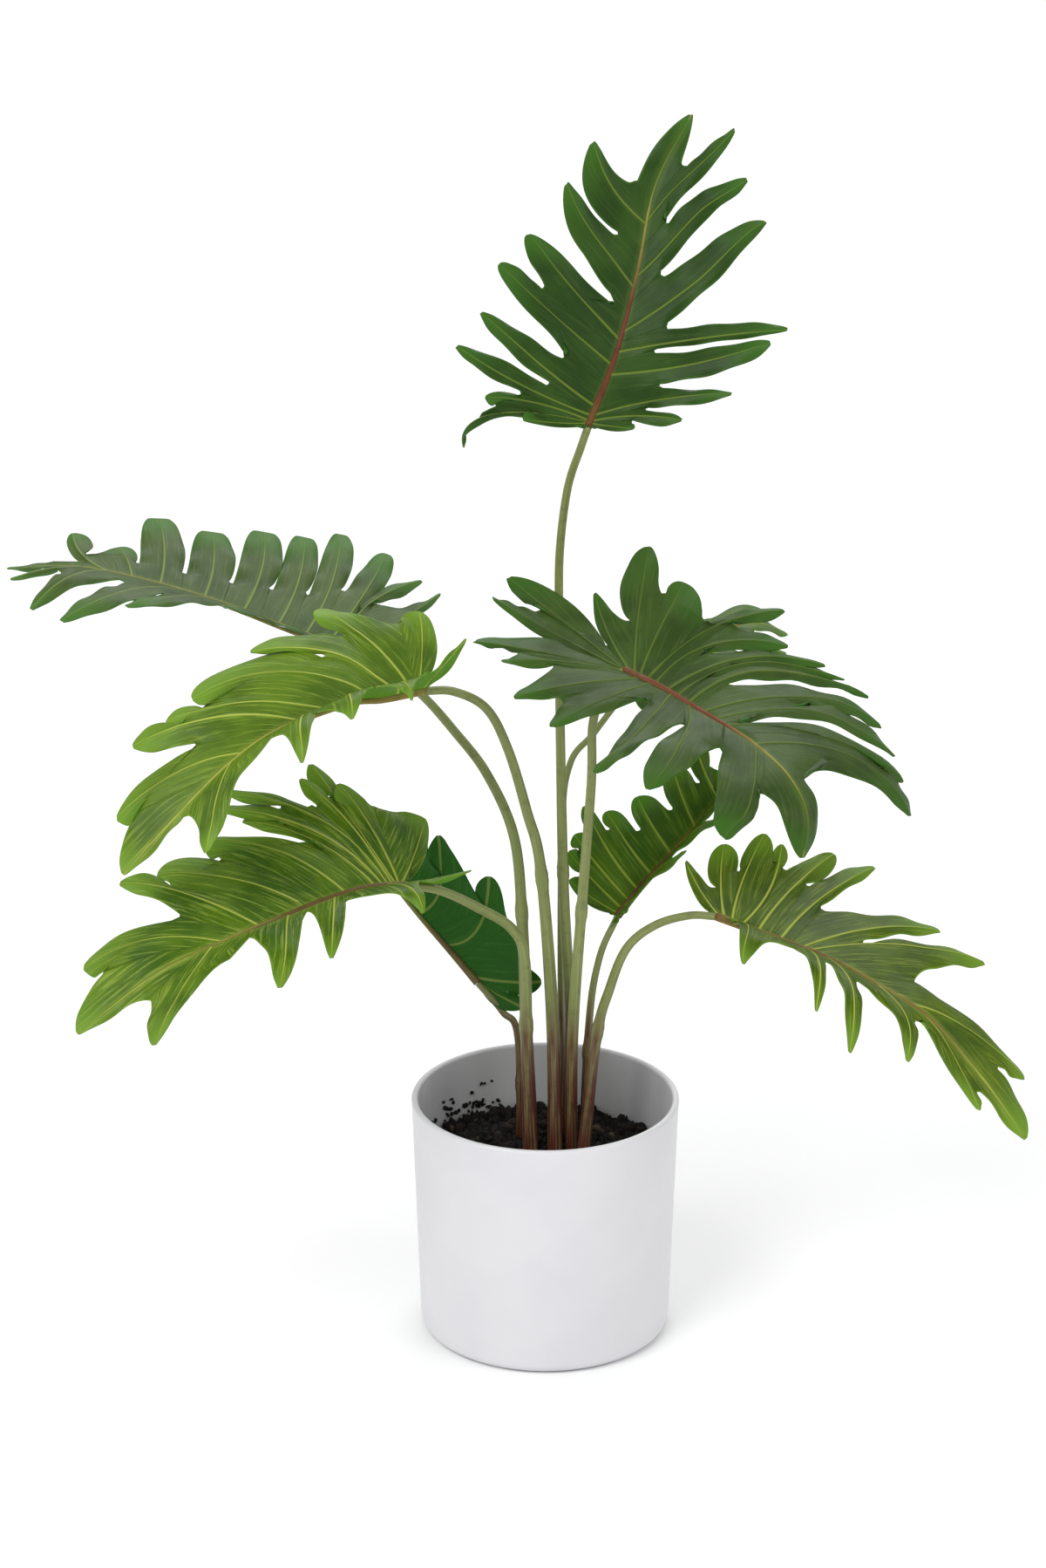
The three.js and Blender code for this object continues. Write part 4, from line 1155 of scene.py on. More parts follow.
@dataclass(frozen=True)
class LeafFinish(Finish):
    """A leaf's colours, above and below, and those of its midrib."""

    slot: str
    body: Colour
    deep: Colour
    streak: Colour
    vein: Colour
    margin: Colour
    under: Colour
    under_vein: Colour
    rib_foot: Colour
    rib_tip: Colour
    streak_amount: float
    vein_amount: float
    gloss: float
    shine: float = 0.13
    relief: float = 0.00025
    rib_turn: Span = (0.25, 0.8)
    rib_fibre: float = 0.25
    rib_relief: float = 0.0002
    rib_shine: float = 0.2

    def material(self) -> Material:
        """The blade's finish."""
        colours = self.paints("body", "deep", "streak", "vein", "margin", "under", "under_vein")
        inputs = colours | {
            "Streak Amount": self.streak_amount,
            "Vein Amount": self.vein_amount,
            "Gloss": self.gloss,
        }
        return self.dressed(leaf_marks(), inputs, self.relief, {"Specular IOR Level": self.shine})

    def turning(self, nodes: Nodes) -> Socket:
        """How far the midrib's colour has turned, by the share of its length."""
        return nodes.ramp(nodes.value("along"), self.rib_turn)

    def rib_material(self) -> Material:
        """The midrib's finish, from maroon at the stalk to pale green at the tip."""
        inputs = {
            "Foot": linear(self.rib_foot),
            "Upper": linear(self.rib_tip),
            "Fibre": linear(self.vein),
            "Turn": self.turning,
            "Amount": self.rib_fibre,
        }
        gloss = {"Specular IOR Level": self.rib_shine}
        return Finish(f"{self.name} rib").dressed(fibre_marks(), inputs, self.rib_relief, gloss)


@dataclass(frozen=True)
class StalkFinish(Finish):
    """The stalks' colours: maroon at the foot, olive above."""

    foot: Colour
    upper: Colour
    fibre: Colour
    turn_from: float
    turn_to: float
    mottle: float = 90.0
    fibre_amount: float = 0.55
    relief: float = 0.0003
    shine: float = 0.5

    def turning(self, nodes: Nodes) -> Socket:
        """How far the colour has turned, by height in millimetres moved up and down by noise."""
        noise = nodes.fibres(nodes.surface_place(), scale=(3.0, 7.0, 1.0), detail=3.0)
        height = nodes.plus(nodes.value("height"), nodes.swing(noise, self.mottle))
        return nodes.ramp(height, (self.turn_from, self.turn_to))

    def material(self) -> Material:
        """The stalks' finish."""
        inputs = self.paints("foot", "upper", "fibre")
        inputs |= {"Turn": self.turning, "Amount": self.fibre_amount}
        return self.dressed(fibre_marks(), inputs, self.relief, {"Specular IOR Level": self.shine})


@dataclass(frozen=True)
class PotFinish(Finish):
    """The pot's satin glaze, off-white."""

    glaze: Colour
    shade: Colour
    relief: float = 0.00006
    shine: float = 0.5
    coat: float = 0.15
    coat_rough: float = 0.3

    def material(self) -> Material:
        """The glaze, with a thin clear coat."""
        gloss = {
            "Specular IOR Level": self.shine,
            "Coat Weight": self.coat,
            "Coat Roughness": self.coat_rough,
        }
        return self.dressed(glaze_marks(), self.paints("glaze", "shade"), self.relief, gloss)


@dataclass(frozen=True)
class SoilFinish(Finish):
    """Moist potting soil: near black, with browner crumbs."""

    dark: Colour
    brown: Colour
    fleck: Colour
    relief: float = 0.0012
    shine: float = 0.3

    def material(self) -> Material:
        """The soil's finish, with a grainy relief."""
        colours = self.paints("dark", "brown", "fleck")
        return self.dressed(soil_marks(), colours, self.relief, {"Specular IOR Level": self.shine})


@dataclass
class Pot:
    """A tapered round pot, turned, with a rounded foot and rim."""

    height: float = 120.0
    rim_radius: float = 65.0
    foot_radius: float = 61.0
    wall: float = 3.2
    floor: float = 6.0
    foot_round: float = 5.0
    inner_round: float = 6.0
    around: int = 200
    # The points of the section's seven stretches, in order, and a ring on the wall.
    counts: tuple[int, ...] = (8, 14, 14, 15, 14, 8, 6)
    wall_ring: int = 20
    # The flat stretches stop this far from the middle and from a round.
    middle: float = 0.4
    gap: float = 1.0
    # The wall's straight stretches: beyond the foot or the hollow, and off the foot or the rim.
    outer_beyond: Span = (0.25, 3.75)
    outer_heights: Span = (9.0, 5.0)
    inner_beyond: Span = (3.3, 0.3)
    inner_heights: Span = (6.0, 16.0)

    def outer_at(self, z: float) -> float:
        """The outer radius at a height: it grows evenly from the foot to the rim."""
        return self.foot_radius + (self.rim_radius - self.foot_radius) * z / self.height

    def inner_at(self, z: float) -> float:
        """The inner radius at a height."""
        return self.outer_at(z) - self.wall

    def arc(self, centre: Span, radius: float, degrees: Span, count: int) -> Array:
        """Points of the section round a centre, from one angle to another."""
        turn = np.radians(np.linspace(*degrees, count))
        return paired(centre[0] + radius * np.cos(turn), centre[1] + radius * np.sin(turn))

    def profile(self) -> Array:
        """Radius and height along the section, from the underside's centre to the floor's.

        Returns:
            A row of two for each point.
        """
        under, foot, outer, lip, inner, hollow, floor = self.counts
        foot_radius = self.outer_at(0)
        heel = foot_radius - self.foot_round
        half = self.wall / 2
        rise = self.floor + self.inner_round
        inside = self.inner_at(rise)
        bend = inside - self.inner_round
        (low, down), (under_rim, above) = self.outer_heights, self.inner_heights
        parts = [
            paired(np.linspace(self.middle, heel - self.gap, under), 0.0),
            self.arc((heel, self.foot_round), self.foot_round, (-90, 0), foot),
            paired(
                foot_radius + np.linspace(*self.outer_beyond, outer),
                np.linspace(low, self.height - down, outer),
            ),
            self.arc((self.outer_at(self.height) - half, self.height - half), half, (0, 180), lip),
            paired(
                inside + np.linspace(*self.inner_beyond, inner),
                np.linspace(self.height - under_rim, above, inner),
            ),
            self.arc((bend, rise), self.inner_round, (0, -90), hollow),
            paired(np.linspace(bend - self.gap, self.middle, floor), self.floor),
        ]
        return np.vstack(parts)

    def surface(self) -> Sheet:
        """The profile turned round the upright axis."""
        profile, turn = self.profile(), full_turn(self.around)
        rings = spun(profile[:, :1], profile[:, 1:], turn)
        shape = capped(rings, {}, paired(turn / UV_TURN, profile[:, 1:] / UV_MM))
        start = self.around * self.wall_ring
        outwards = shape.points[start] * np.array([1, 1, 0])
        return shape.facing(outwards, slice(start, start + 1))

    def build(self, finish: PotFinish) -> Piece:
        """Makes the pot in place of the solid one."""
        piece = make_piece("planter", self.surface(), finish.material())
        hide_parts("pot")
        return piece


@dataclass
class Soil:
    """Potting soil: a humped, lumpy top in the pot, strewn with crumbs."""

    pot: Pot
    level: float = 86.0
    hump: float = 5.0
    lump: float = 1.3
    seat: float = 0.3
    seed: int = 7
    # The bed: its rings, its clods, its underside, and the ring that tells which way is up.
    rings: int = 90
    around: int = 240
    centre: float = 0.3
    clod: float = 0.55
    clod_fade: float = 3.0
    sink: float = 0.8
    underside: float = 64.0
    underside_share: float = 0.5
    top_ring: int = 40
    lump_waves: tuple[float, ...] = (0.31, 0.27, 0.13, 0.19)
    clod_waves: Span = (0.35, 3.2)
    clod_count: int = 40
    clod_fall: float = 0.7
    # The crumbs: how many, their balls, the spread of their sizes, and how they lie.
    crumbs: int = 1500
    wall_crumbs: int = 46
    ball_around: int = 7
    ball_rings: int = 5
    ball_rise: float = 0.42
    crumb_spread: Span = (4.0, 0.28)
    crumb_least: float = 0.5
    crumb_edge: float = 2.0
    crumb_rest: float = 0.3
    crumb_stretch: Span = (0.55, 1.25)
    crumb_dent: float = 0.25
    # Those on the wall: where they cling, in degrees and millimetres, and their sizes.
    wall_angle: Span = (132, 13)
    wall_above: float = 2.0
    wall_spread: Span = (2.0, 3.0)
    wall_lean: float = 30.0
    wall_sink: float = 0.4
    wall_sizes: Span = (0.5, 1.5)
    wall_scale: float = 0.75

    @property
    def reach(self) -> float:
        """The radius of the soil's top."""
        return self.pot.inner_at(self.level) - self.seat

    def height(self, x: Array, y: Array) -> Array:
        """Height of the top: a hump that falls off with the radius squared, and two waves."""
        share = np.hypot(x, y) / self.reach
        a, b, c, d = self.lump_waves
        lumps = np.sin(x * a + 1) * np.cos(y * b) + np.sin(x * c - y * d + 2)
        return self.level + self.hump * (1 - share**2) + self.lump * lumps

    def clods(self, x: Array, y: Array, draw: np.random.Generator) -> Array:
        """Small unevenness: the sum of crossed sine waves of falling size and seeded turns."""
        total = np.zeros_like(x)
        for wave in np.geomspace(*self.clod_waves, self.clod_count):
            a, b, c = draw.uniform(0, 2 * math.pi, 3)
            one = np.sin((x * math.cos(a) + y * math.sin(a)) * wave + b)
            other = np.sin((y * math.cos(a) - x * math.sin(a)) * wave + c)
            total += one * other / wave**self.clod_fall
        return total

    def bed(self, draw: np.random.Generator) -> Sheet:
        """The soil's body: a disc of rings with clods, closed below."""
        turn = full_turn(self.around)
        radius = np.linspace(self.centre, self.reach, self.rings)[:, None]
        x, y, _ = np.moveaxis(spun(radius, 0.0, turn), -1, 0)
        rough = self.clod * np.abs(self.clods(x, y, draw))
        rough = rough * smooth_step(self.reach - np.hypot(x, y), 0, self.clod_fade)
        top = spun(radius, self.height(x, y) + rough - self.sink, turn)
        below = spun(radius[-1:], self.underside, turn)
        narrower = np.array([self.underside_share, self.underside_share, 1.0])
        body = np.concatenate([top, below, below * narrower])
        shape = capped(body, {"tone": np.zeros(1)}, body[..., :2] / UV_MM)
        start = self.around * self.top_ring
        return shape.facing(np.array([0, 0, 1]), slice(start, start + 1))

    def places(self, draw: np.random.Generator) -> tuple[Array, Array, Array]:
        """Where the crumbs lie: most on the top, a few on the wall at the back left.

        Args:
            draw: the seeded draws.

        Returns:
            Their places, their sizes, and which of them are on the wall.
        """
        count = self.crumbs + self.wall_crumbs
        wide = self.pot.inner_at(self.level) - self.crumb_edge
        radius = wide * np.sqrt(draw.uniform(0, 1, count))
        angle = draw.uniform(0, 2 * math.pi, count)
        size = draw.gamma(*self.crumb_spread, count) + self.crumb_least
        height = self.height(radius * np.cos(angle), radius * np.sin(angle))
        lying = spun(radius, height + self.crumb_rest + self.crumb_rest * size, angle)
        wall_angle = np.radians(draw.normal(*self.wall_angle, count))
        wall_z = self.level + self.wall_above + draw.gamma(*self.wall_spread, count)
        lean = (self.pot.height - wall_z) / self.wall_lean
        wall_radius = self.pot.rim_radius - self.pot.wall - lean - self.wall_sink
        clinging = spun(wall_radius, wall_z, wall_angle)
        on_wall = np.arange(count) >= self.crumbs
        smaller = np.clip(size, *self.wall_sizes) * self.wall_scale
        places = np.where(on_wall[:, None], clinging, lying)
        return places, np.where(on_wall, smaller, size), on_wall

    def strewn(self, draw: np.random.Generator) -> Sheet:
        """Crumbs: dented little balls, squashed, turned and sized by seeded draws.

        Args:
            draw: the seeded draws.

        Returns:
            All of them as one surface.
        """
        around, rows = self.ball_around, self.ball_rings
        rise = np.linspace(-self.ball_rise, self.ball_rise, rows)[:, None] * math.pi
        ball = spun(np.cos(rise), np.sin(rise), full_turn(around)).reshape(-1, 3)
        places, size, on_wall = self.places(draw)
        count = len(places)
        stretch = draw.uniform(*self.crumb_stretch, (count, 3)) * size[:, None]
        dents = 1 + draw.uniform(-self.crumb_dent, self.crumb_dent, (count, len(ball), 1))
        spin = draw.uniform(0, 2 * math.pi, (count, 2))
        shapes = ball[None] * dents * stretch[:, None]
        shapes = swung(swung(shapes, spin[:, 0], 0, 1), spin[:, 1], 1, 2)
        points = (shapes + places[:, None]).reshape(-1, 3)
        low = SEVEN_SIDED_CAP
        ends = [low[:, ::-1], low + (rows - 1) * around]
        each = np.vstack([grid_faces(rows, around, closed=True), *ends])
        faces = (each[None] + (np.arange(count) * len(ball))[:, None, None]).reshape(-1, 4)
        tone = np.repeat(draw.uniform(0, 1, count) * ~on_wall, len(ball))
        return Sheet(points, faces, {"tone": tone}, points[:, :2] / UV_MM)

    def build(self, finish: SoilFinish) -> list[Piece]:
        """Makes the soil's body, in place of the solid, and its crumbs."""
        draw = np.random.default_rng(self.seed)
        bed = make_piece("soil_bed", self.bed(draw), finish.material())
        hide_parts("soil")
        return [bed, make_piece("soil_crumbs", self.strewn(draw), finish.material())]


DEEP_GREEN = LeafFinish(
    name="deep green leaf",
    slot="leaf_deep",
    body=(44, 72, 20),
    deep=(32, 58, 14),
    streak=(68, 92, 32),
    vein=(106, 126, 44),
    margin=(60, 104, 30),
    under=(50, 92, 28),
    under_vein=(128, 144, 60),
    rib_foot=(96, 48, 28),
    rib_tip=(132, 126, 58),
    streak_amount=0.35,
    vein_amount=0.7,
    gloss=0.38,
    rib_turn=(0.4, 0.72),
)
# The upper-left leaf's finish: its body, deep, streak and vein colours are greyed and paled with
# painted sheen, the haze of light reflected at a grazing angle, laid over the leaf's own green.
PAINTED_SHEEN_GREEN = replace(
    DEEP_GREEN,
    name="painted sheen green leaf",
    body=(68, 87, 40),
    deep=(54, 74, 32),
    streak=(104, 120, 74),
    vein=(126, 146, 78),
    margin=(70, 116, 44),
    rib_foot=(112, 108, 48),
)
BROAD_GREEN = replace(
    DEEP_GREEN,
    name="broad green leaf",
    body=(56, 78, 28),
    deep=(44, 64, 22),
    streak=(86, 104, 50),
    vein=(104, 122, 46),
    margin=(54, 98, 24),
    rib_foot=(104, 54, 32),
    vein_amount=0.5,
    shine=0.12,
    rib_turn=(0.4, 0.62),
)
LUSH_GREEN = replace(
    DEEP_GREEN,
    name="lush green leaf",
    body=(66, 94, 12),
    deep=(46, 76, 12),
    streak=(94, 124, 36),
    vein=(132, 150, 50),
    margin=(78, 126, 34),
    rib_foot=(78, 34, 22),
    rib_tip=(136, 88, 44),
    streak_amount=0.7,
    vein_amount=0.8,
    rib_turn=(0.2, 0.7),
)
BRIGHT_GREEN = LeafFinish(
    name="bright green leaf",
    slot="leaf_bright",
    body=(84, 113, 24),
    deep=(66, 94, 20),
    streak=(138, 160, 58),
    vein=(170, 182, 76),
    margin=(112, 150, 44),
    under=(86, 134, 34),
    under_vein=(160, 174, 84),
    rib_foot=(122, 108, 48),
    rib_tip=(160, 168, 76),
    streak_amount=0.6,
    vein_amount=0.85,
    gloss=0.36,
)
LOW_LEFT_GREEN = replace(
    BRIGHT_GREEN,
    name="low left leaf",
    body=(82, 112, 14),
    deep=(56, 88, 10),
    streak=(150, 170, 70),
    rib_foot=(98, 76, 36),
    rib_tip=(126, 132, 52),
    streak_amount=0.65,
    gloss=0.3,
    shine=0.14,
    relief=0.0006,
    rib_turn=(0.3, 0.8),
)
LOW_RIGHT_GREEN = replace(
    BRIGHT_GREEN,
    name="low right leaf",
    body=(74, 96, 14),
    deep=(54, 77, 10),
    streak=(124, 142, 44),
    streak_amount=0.7,
    shine=0.1,
    rib_foot=(112, 82, 38),
    rib_tip=(130, 130, 52),
    rib_turn=(0.5, 0.9),
)
SHADED_GREEN = LeafFinish(
    name="shaded green leaf",
    slot="leaf_shaded",
    body=(42, 86, 24),
    deep=(32, 72, 18),
    streak=(72, 116, 40),
    vein=(116, 136, 58),
    margin=(62, 112, 38),
    under=(30, 82, 12),
    under_vein=(104, 124, 56),
    rib_foot=(100, 84, 50),
    rib_tip=(122, 130, 66),
    streak_amount=0.4,
    vein_amount=0.7,
    gloss=0.42,
)
STALK_GREEN = StalkFinish(
    name="olive stalk",
    foot=(84, 36, 28),
    upper=(116, 126, 66),
    fibre=(146, 152, 92),
    turn_from=125.0,
    turn_to=190.0,
)
POT_GLAZE = PotFinish(name="white glaze", glaze=(213, 212, 215), shade=(206, 205, 209))
POTTING_SOIL = SoilFinish(
    name="potting soil",
    dark=(20, 17, 16),
    brown=(38, 30, 25),
    fleck=(92, 80, 66),
)

LEFT, RIGHT = Half.LEFT, Half.RIGHT


def crown() -> tuple[Blade, Stalk]:
    """The tallest leaf, upright, facing forwards."""
    blade = Blade(
        name="crown",
        finish=DEEP_GREEN,
        midrib=[(19, -18, 461), (32, 8, 488), (42, 28, 522), (50, 42, 558), (67, 52, 590)],
        face=((0.05, -0.65, 0.75), (-0.1, -0.9, 0.3)),
        fold={LEFT: [18], RIGHT: [18]},
        sweep={LEFT: 8, RIGHT: 8},
        end=Lobe(108, 0, 0, 7, blunt=0.3, fuller=0.3),
        lobes={
            LEFT: [
                Lobe(1, -12, 29, 4, -7, 25, 0, 0.1, -0.6),
                Lobe(1.5, -19, 73, 2.5, -9, 43, -130, 0.2),
                Lobe(2, -10, 49, 5, 0, 34),
                Lobe(5, 6, 71, 6.5, 10, 24, 0, 0.3, -0.4),
                Lobe(10, 29, 66, 8, 27, 22, 0, 0.15, -0.2),
                Lobe(33, 64, 64, 8, 59, 41, 0, 0.05),
                Lobe(46, 84, 54, 8.5, 63, 7, 0, 0.05),
                Lobe(72, 112, 41, 9, 95, 12, 0, 0.25, 0.3),
                Lobe(102, 127, 35, 9, 119, 10, 0, 0.25, 0.55),
            ],
            RIGHT: [
                Lobe(1, 2, 22, 3, 6, 19, 0, 0.2, -0.3),
                Lobe(2, 10, 43, 5, 14, 23, 0, 0.25),
                Lobe(5, 28, 62, 5, 27, 25),
                Lobe(28, 55, 72, 7.5, 44, 17, 0, 0.1),
                Lobe(40, 62, 79, 5, 56, 20, 0, 0.15, -0.5),
                Lobe(50, 115, 58, 8, 80, 11, 0, 0.1, -0.3),
                Lobe(77, 143, 41, 8, 104, 9, 0, 0.2, -0.3),
                Lobe(103, 160, 23, 6, 134, 9),
            ],
        },
    )
    stalk = Stalk(
        name="crown",
        path=[
            (10, 12, 62), (12, 12, 150), (8.5, 12, 231), (6.6, 16, 321), (6.2, 19, 357),
            (6.4, 15, 391), (9.8, 0, 426), (15.6, -12.5, 449), (19, -18, 461),
        ],
        foot=3.4,
        top=1.8,
        knuckle=232,
    )
    return blade, stalk


def upper_left() -> tuple[Blade, Stalk]:
    """The long leaf that reaches furthest left, seen nearly edge on."""
    blade = Blade(
        name="upper_left",
        # Its colours hold painted sheen, greyed and paled.
        finish=PAINTED_SHEEN_GREEN,
        midrib=[
            (-93, 58, 328), (-120, 62, 336), (-153, 66, 348), (-185, 68, 358), (-223, 70, 366),
            (-260, 72, 365),
        ],
        face=((0, -0.05, 1), (0, -0.05, 1)),
        fold={LEFT: [26, 27, 21, 17, 14], RIGHT: [14]},
        sweep={LEFT: 10, RIGHT: 10},
        end=Lobe(149, 0, 0, 5, blunt=0.3),
        lobes={
            LEFT: [
                Lobe(1, -20, 30, 6, -4, 18),
                Lobe(4, 2, 42, 7, 14, 22, -4),
                Lobe(20, 32, 46, 8, 38, 22, -6, 0.2),
                Lobe(42, 64, 50, 8, 62, 24, -6, 0.2),
                Lobe(62, 108, 66, 8, 86, 24, -30, 0.2),
                Lobe(84, 135, 83, 10, 114, 20, -45, 0.2),
                Lobe(124, 156, 46, 7, 146, 9, -75),
                Lobe(136, 169, 17, 4, 154, 4, -40),
            ],
            RIGHT: [
                Lobe(1, -29, 67, 4, 0, 42),
                Lobe(3, -18, 72, 6, 5, 33),
                Lobe(12, 4, 83, 9, 17, 44, 0, -0.05),
                Lobe(24, 29, 87, 9.5, 32, 32, 0, -0.1),
                Lobe(38, 45, 74, 10, 49, 25, 0, -0.15),
                Lobe(56, 62, 67, 11, 67, 19, 0, -0.15),
                Lobe(76, 83, 54, 12, 89, 15, 0, -0.15),
                Lobe(98, 109, 53, 12, 112, 13, 0, -0.15),
                Lobe(112, 122, 22, 8, 137, 12, 0, 0),
                Lobe(124, 145, 29, 8, 135, 5, 0, 0.1, 0.4),
            ],
        },
    )
    stalk = Stalk(
        name="upper_left",
        path=[
            (-5, 5, 62), (-9, 5, 150), (-11, 8, 206), (-15, 18, 247), (-28, 32, 274),
            (-44, 44, 292), (-60, 52, 308), (-78, 57, 321), (-93, 58, 328),
        ],
        foot=3.8,
        top=2.0,
        knuckle=212,
    )
    return blade, stalk


def left() -> tuple[Blade, Stalk]:
    """The bright leaf that arches down on the left, its near half curled under."""
    blade = Blade(
        name="left",
        finish=BRIGHT_GREEN,
        midrib=[
            (-57, -22, 335), (-75, -34, 335), (-91, -46, 337), (-122, -66, 331),
            (-144, -82, 320), (-168, -96, 299), (-191, -104, 275),
        ],
        face=((0, -0.1, 1), (-0.5, -0.5, 0.8)),
        fold={LEFT: [60, 54, 34, 10, 0], RIGHT: [44, 38, 32, 28]},
        sweep={LEFT: 2, RIGHT: 17},
        end=Lobe(129, 0, 0, 9, blunt=0.25, fuller=-0.55),
        lobes={
            LEFT: [
                Lobe(1, -11, 36, 4.5, 4, 18),
                Lobe(14, 26, 33, 4.5, 36, 17, -118),
                Lobe(40, 54, 30, 5, 64, 15, -112),
                Lobe(62, 89, 37, 6, 88, 9, -105),
                Lobe(106, 145, 32, 8, 139, 4, -25),
            ],
            RIGHT: [
                Lobe(3, -17, 41, 10.5, -5, 37, -20, 0.05),
                Lobe(6, 33, 55, 10, 28, 37, -30, 0.05),
                Lobe(12, 68, 45, 8, 40, 27, -35, 0.15, 0.75),
                Lobe(27, 97, 39, 14, 97, 31, -35, 0.05, 0.35),
                Lobe(52, 113, 39, 9, 110, 32, -35, 0.2),
                Lobe(68, 131, 42, 10, 112, 18, -30, 0.2),
                Lobe(100, 162, 22, 10, 154, 17, -20, 0.25),
            ],
        },
    )
    stalk = Stalk(
        name="left",
        path=[
            (5, -5, 62), (4, -3, 150), (-2, -1, 236), (-9, -2, 268), (-18, -6, 301),
            (-28, -12, 323), (-43, -17, 333), (-57, -22, 335),
        ],
        foot=4.2,
        top=2.0,
        knuckle=234,
    )
    return blade, stalk


def lower_left() -> tuple[Blade, Stalk]:
    """The bright leaf below it, broad and full of fingers."""
    blade = Blade(
        name="lower_left",
        finish=LOW_LEFT_GREEN,
        midrib=[
            (-67, -34, 243), (-84, -46, 246), (-102, -58, 245), (-124, -72, 241),
            (-147, -88, 237), (-177, -104, 227), (-213, -118, 203),
        ],
        face=((0.05, -0.2, 1), (-0.4, -0.5, 0.9)),
        fold={LEFT: [40, 8, 0, 0, 0], RIGHT: [28, 24, 20, 12]},
        sweep={LEFT: 2, RIGHT: 15},
        end=Lobe(108, 0, 0, 10, blunt=0.25, fuller=-0.65),
        lobes={
            LEFT: [
                Lobe(1, -30, 16, 4, -4, 10, 20),
                Lobe(10, 8, 34, 5, 35, 7, -100),
                Lobe(38, 63, 38, 6, 55, 3, -30),
                Lobe(63, 93, 40, 7, 87, 4, -30),
                Lobe(104, 154, 33, 7, 143, 10, -20, 0.2, -0.4),
            ],
            RIGHT: [
                Lobe(1, -28, 36, 12, -3, 44, 0, 0.1, -0.4),
                Lobe(2.5, 14, 57, 7, 14, 45, 10),
                Lobe(4, 19, 72, 5.5, 17, 52),
                Lobe(6, 25, 65, 5, 24, 49),
                Lobe(8.5, 54, 78, 5.5, 36, 56, -20, 0.2),
                Lobe(11.5, 60, 71, 6.5, 41, 50, -25, 0.2, 0.3),
                Lobe(16, 54, 59, 7, 32, 31, -25, 0.15, 0.5),
                Lobe(32, 73, 58, 10, 73, 43, -25, 0.2, -0.3),
                Lobe(53, 105, 51, 11, 104, 39, -25, 0.15, 0.6),
                Lobe(79, 123, 55, 9, 109, 22, -20, 0.2, 0.2),
                Lobe(99, 158, 28, 10, 151, 19, -15, 0.2),
            ],
        },
    )
    stalk = Stalk(
        name="lower_left",
        path=[
            (-6, -7, 62), (-9, -7, 150), (-10, -9, 195), (-16, -12, 212), (-32, -20, 226),
            (-50, -28, 238), (-67, -34, 243),
        ],
        foot=4.4,
        top=2.0,
        knuckle=160,
    )
    return blade, stalk


def low_shaded() -> tuple[Blade, Stalk]:
    """The small low leaf behind the stalks, its underside to the front."""
    blade = Blade(
        name="low_shaded",
        finish=SHADED_GREEN,
        midrib=[(-33, 22, 170), (-47, 28, 185), (-62, 34, 201), (-74, 40, 215), (-85, 48, 232)],
        face=((0.66, 0.59, 0.45), (0.66, 0.59, 0.35)),
        fold={LEFT: [45], RIGHT: [45]},
        sweep={LEFT: 10, RIGHT: 10},
        end=Lobe(54, 0, 0, 7, blunt=0.3),
        lobes={
            LEFT: [
                Lobe(1, -24, 10, 7, -12, 8, 0, 0.2),
                Lobe(4, -20, 26, 8, 10, 34, 0, 0.2),
                Lobe(24, 35, 41, 8, 23, 29, 0, 0.1),
                Lobe(44, 72, 33, 8, 52, 23, 0, 0.2),
                Lobe(64, 84, 30, 7, 78, 10, 0, 0.2),
            ],
            RIGHT: [
                Lobe(1, -16, 24, 6, -4, 12, 0, 0.2),
                Lobe(4, 2, 40, 7, 14, 16, 0, 0.2),
                Lobe(20, 26, 48, 8, 34, 16, 0, 0.2),
                Lobe(40, 52, 42, 8, 56, 14, 0, 0.2),
                Lobe(62, 82, 26, 7, 76, 8, 0, 0.2),
            ],
        },
    )
    stalk = Stalk(
        name="low_shaded",
        path=[(-12, 14, 62), (-13, 14, 142), (-21, 17, 157), (-33, 22, 170)],
        foot=2.6,
        top=1.6,
        knuckle=120,
    )
    return blade, stalk


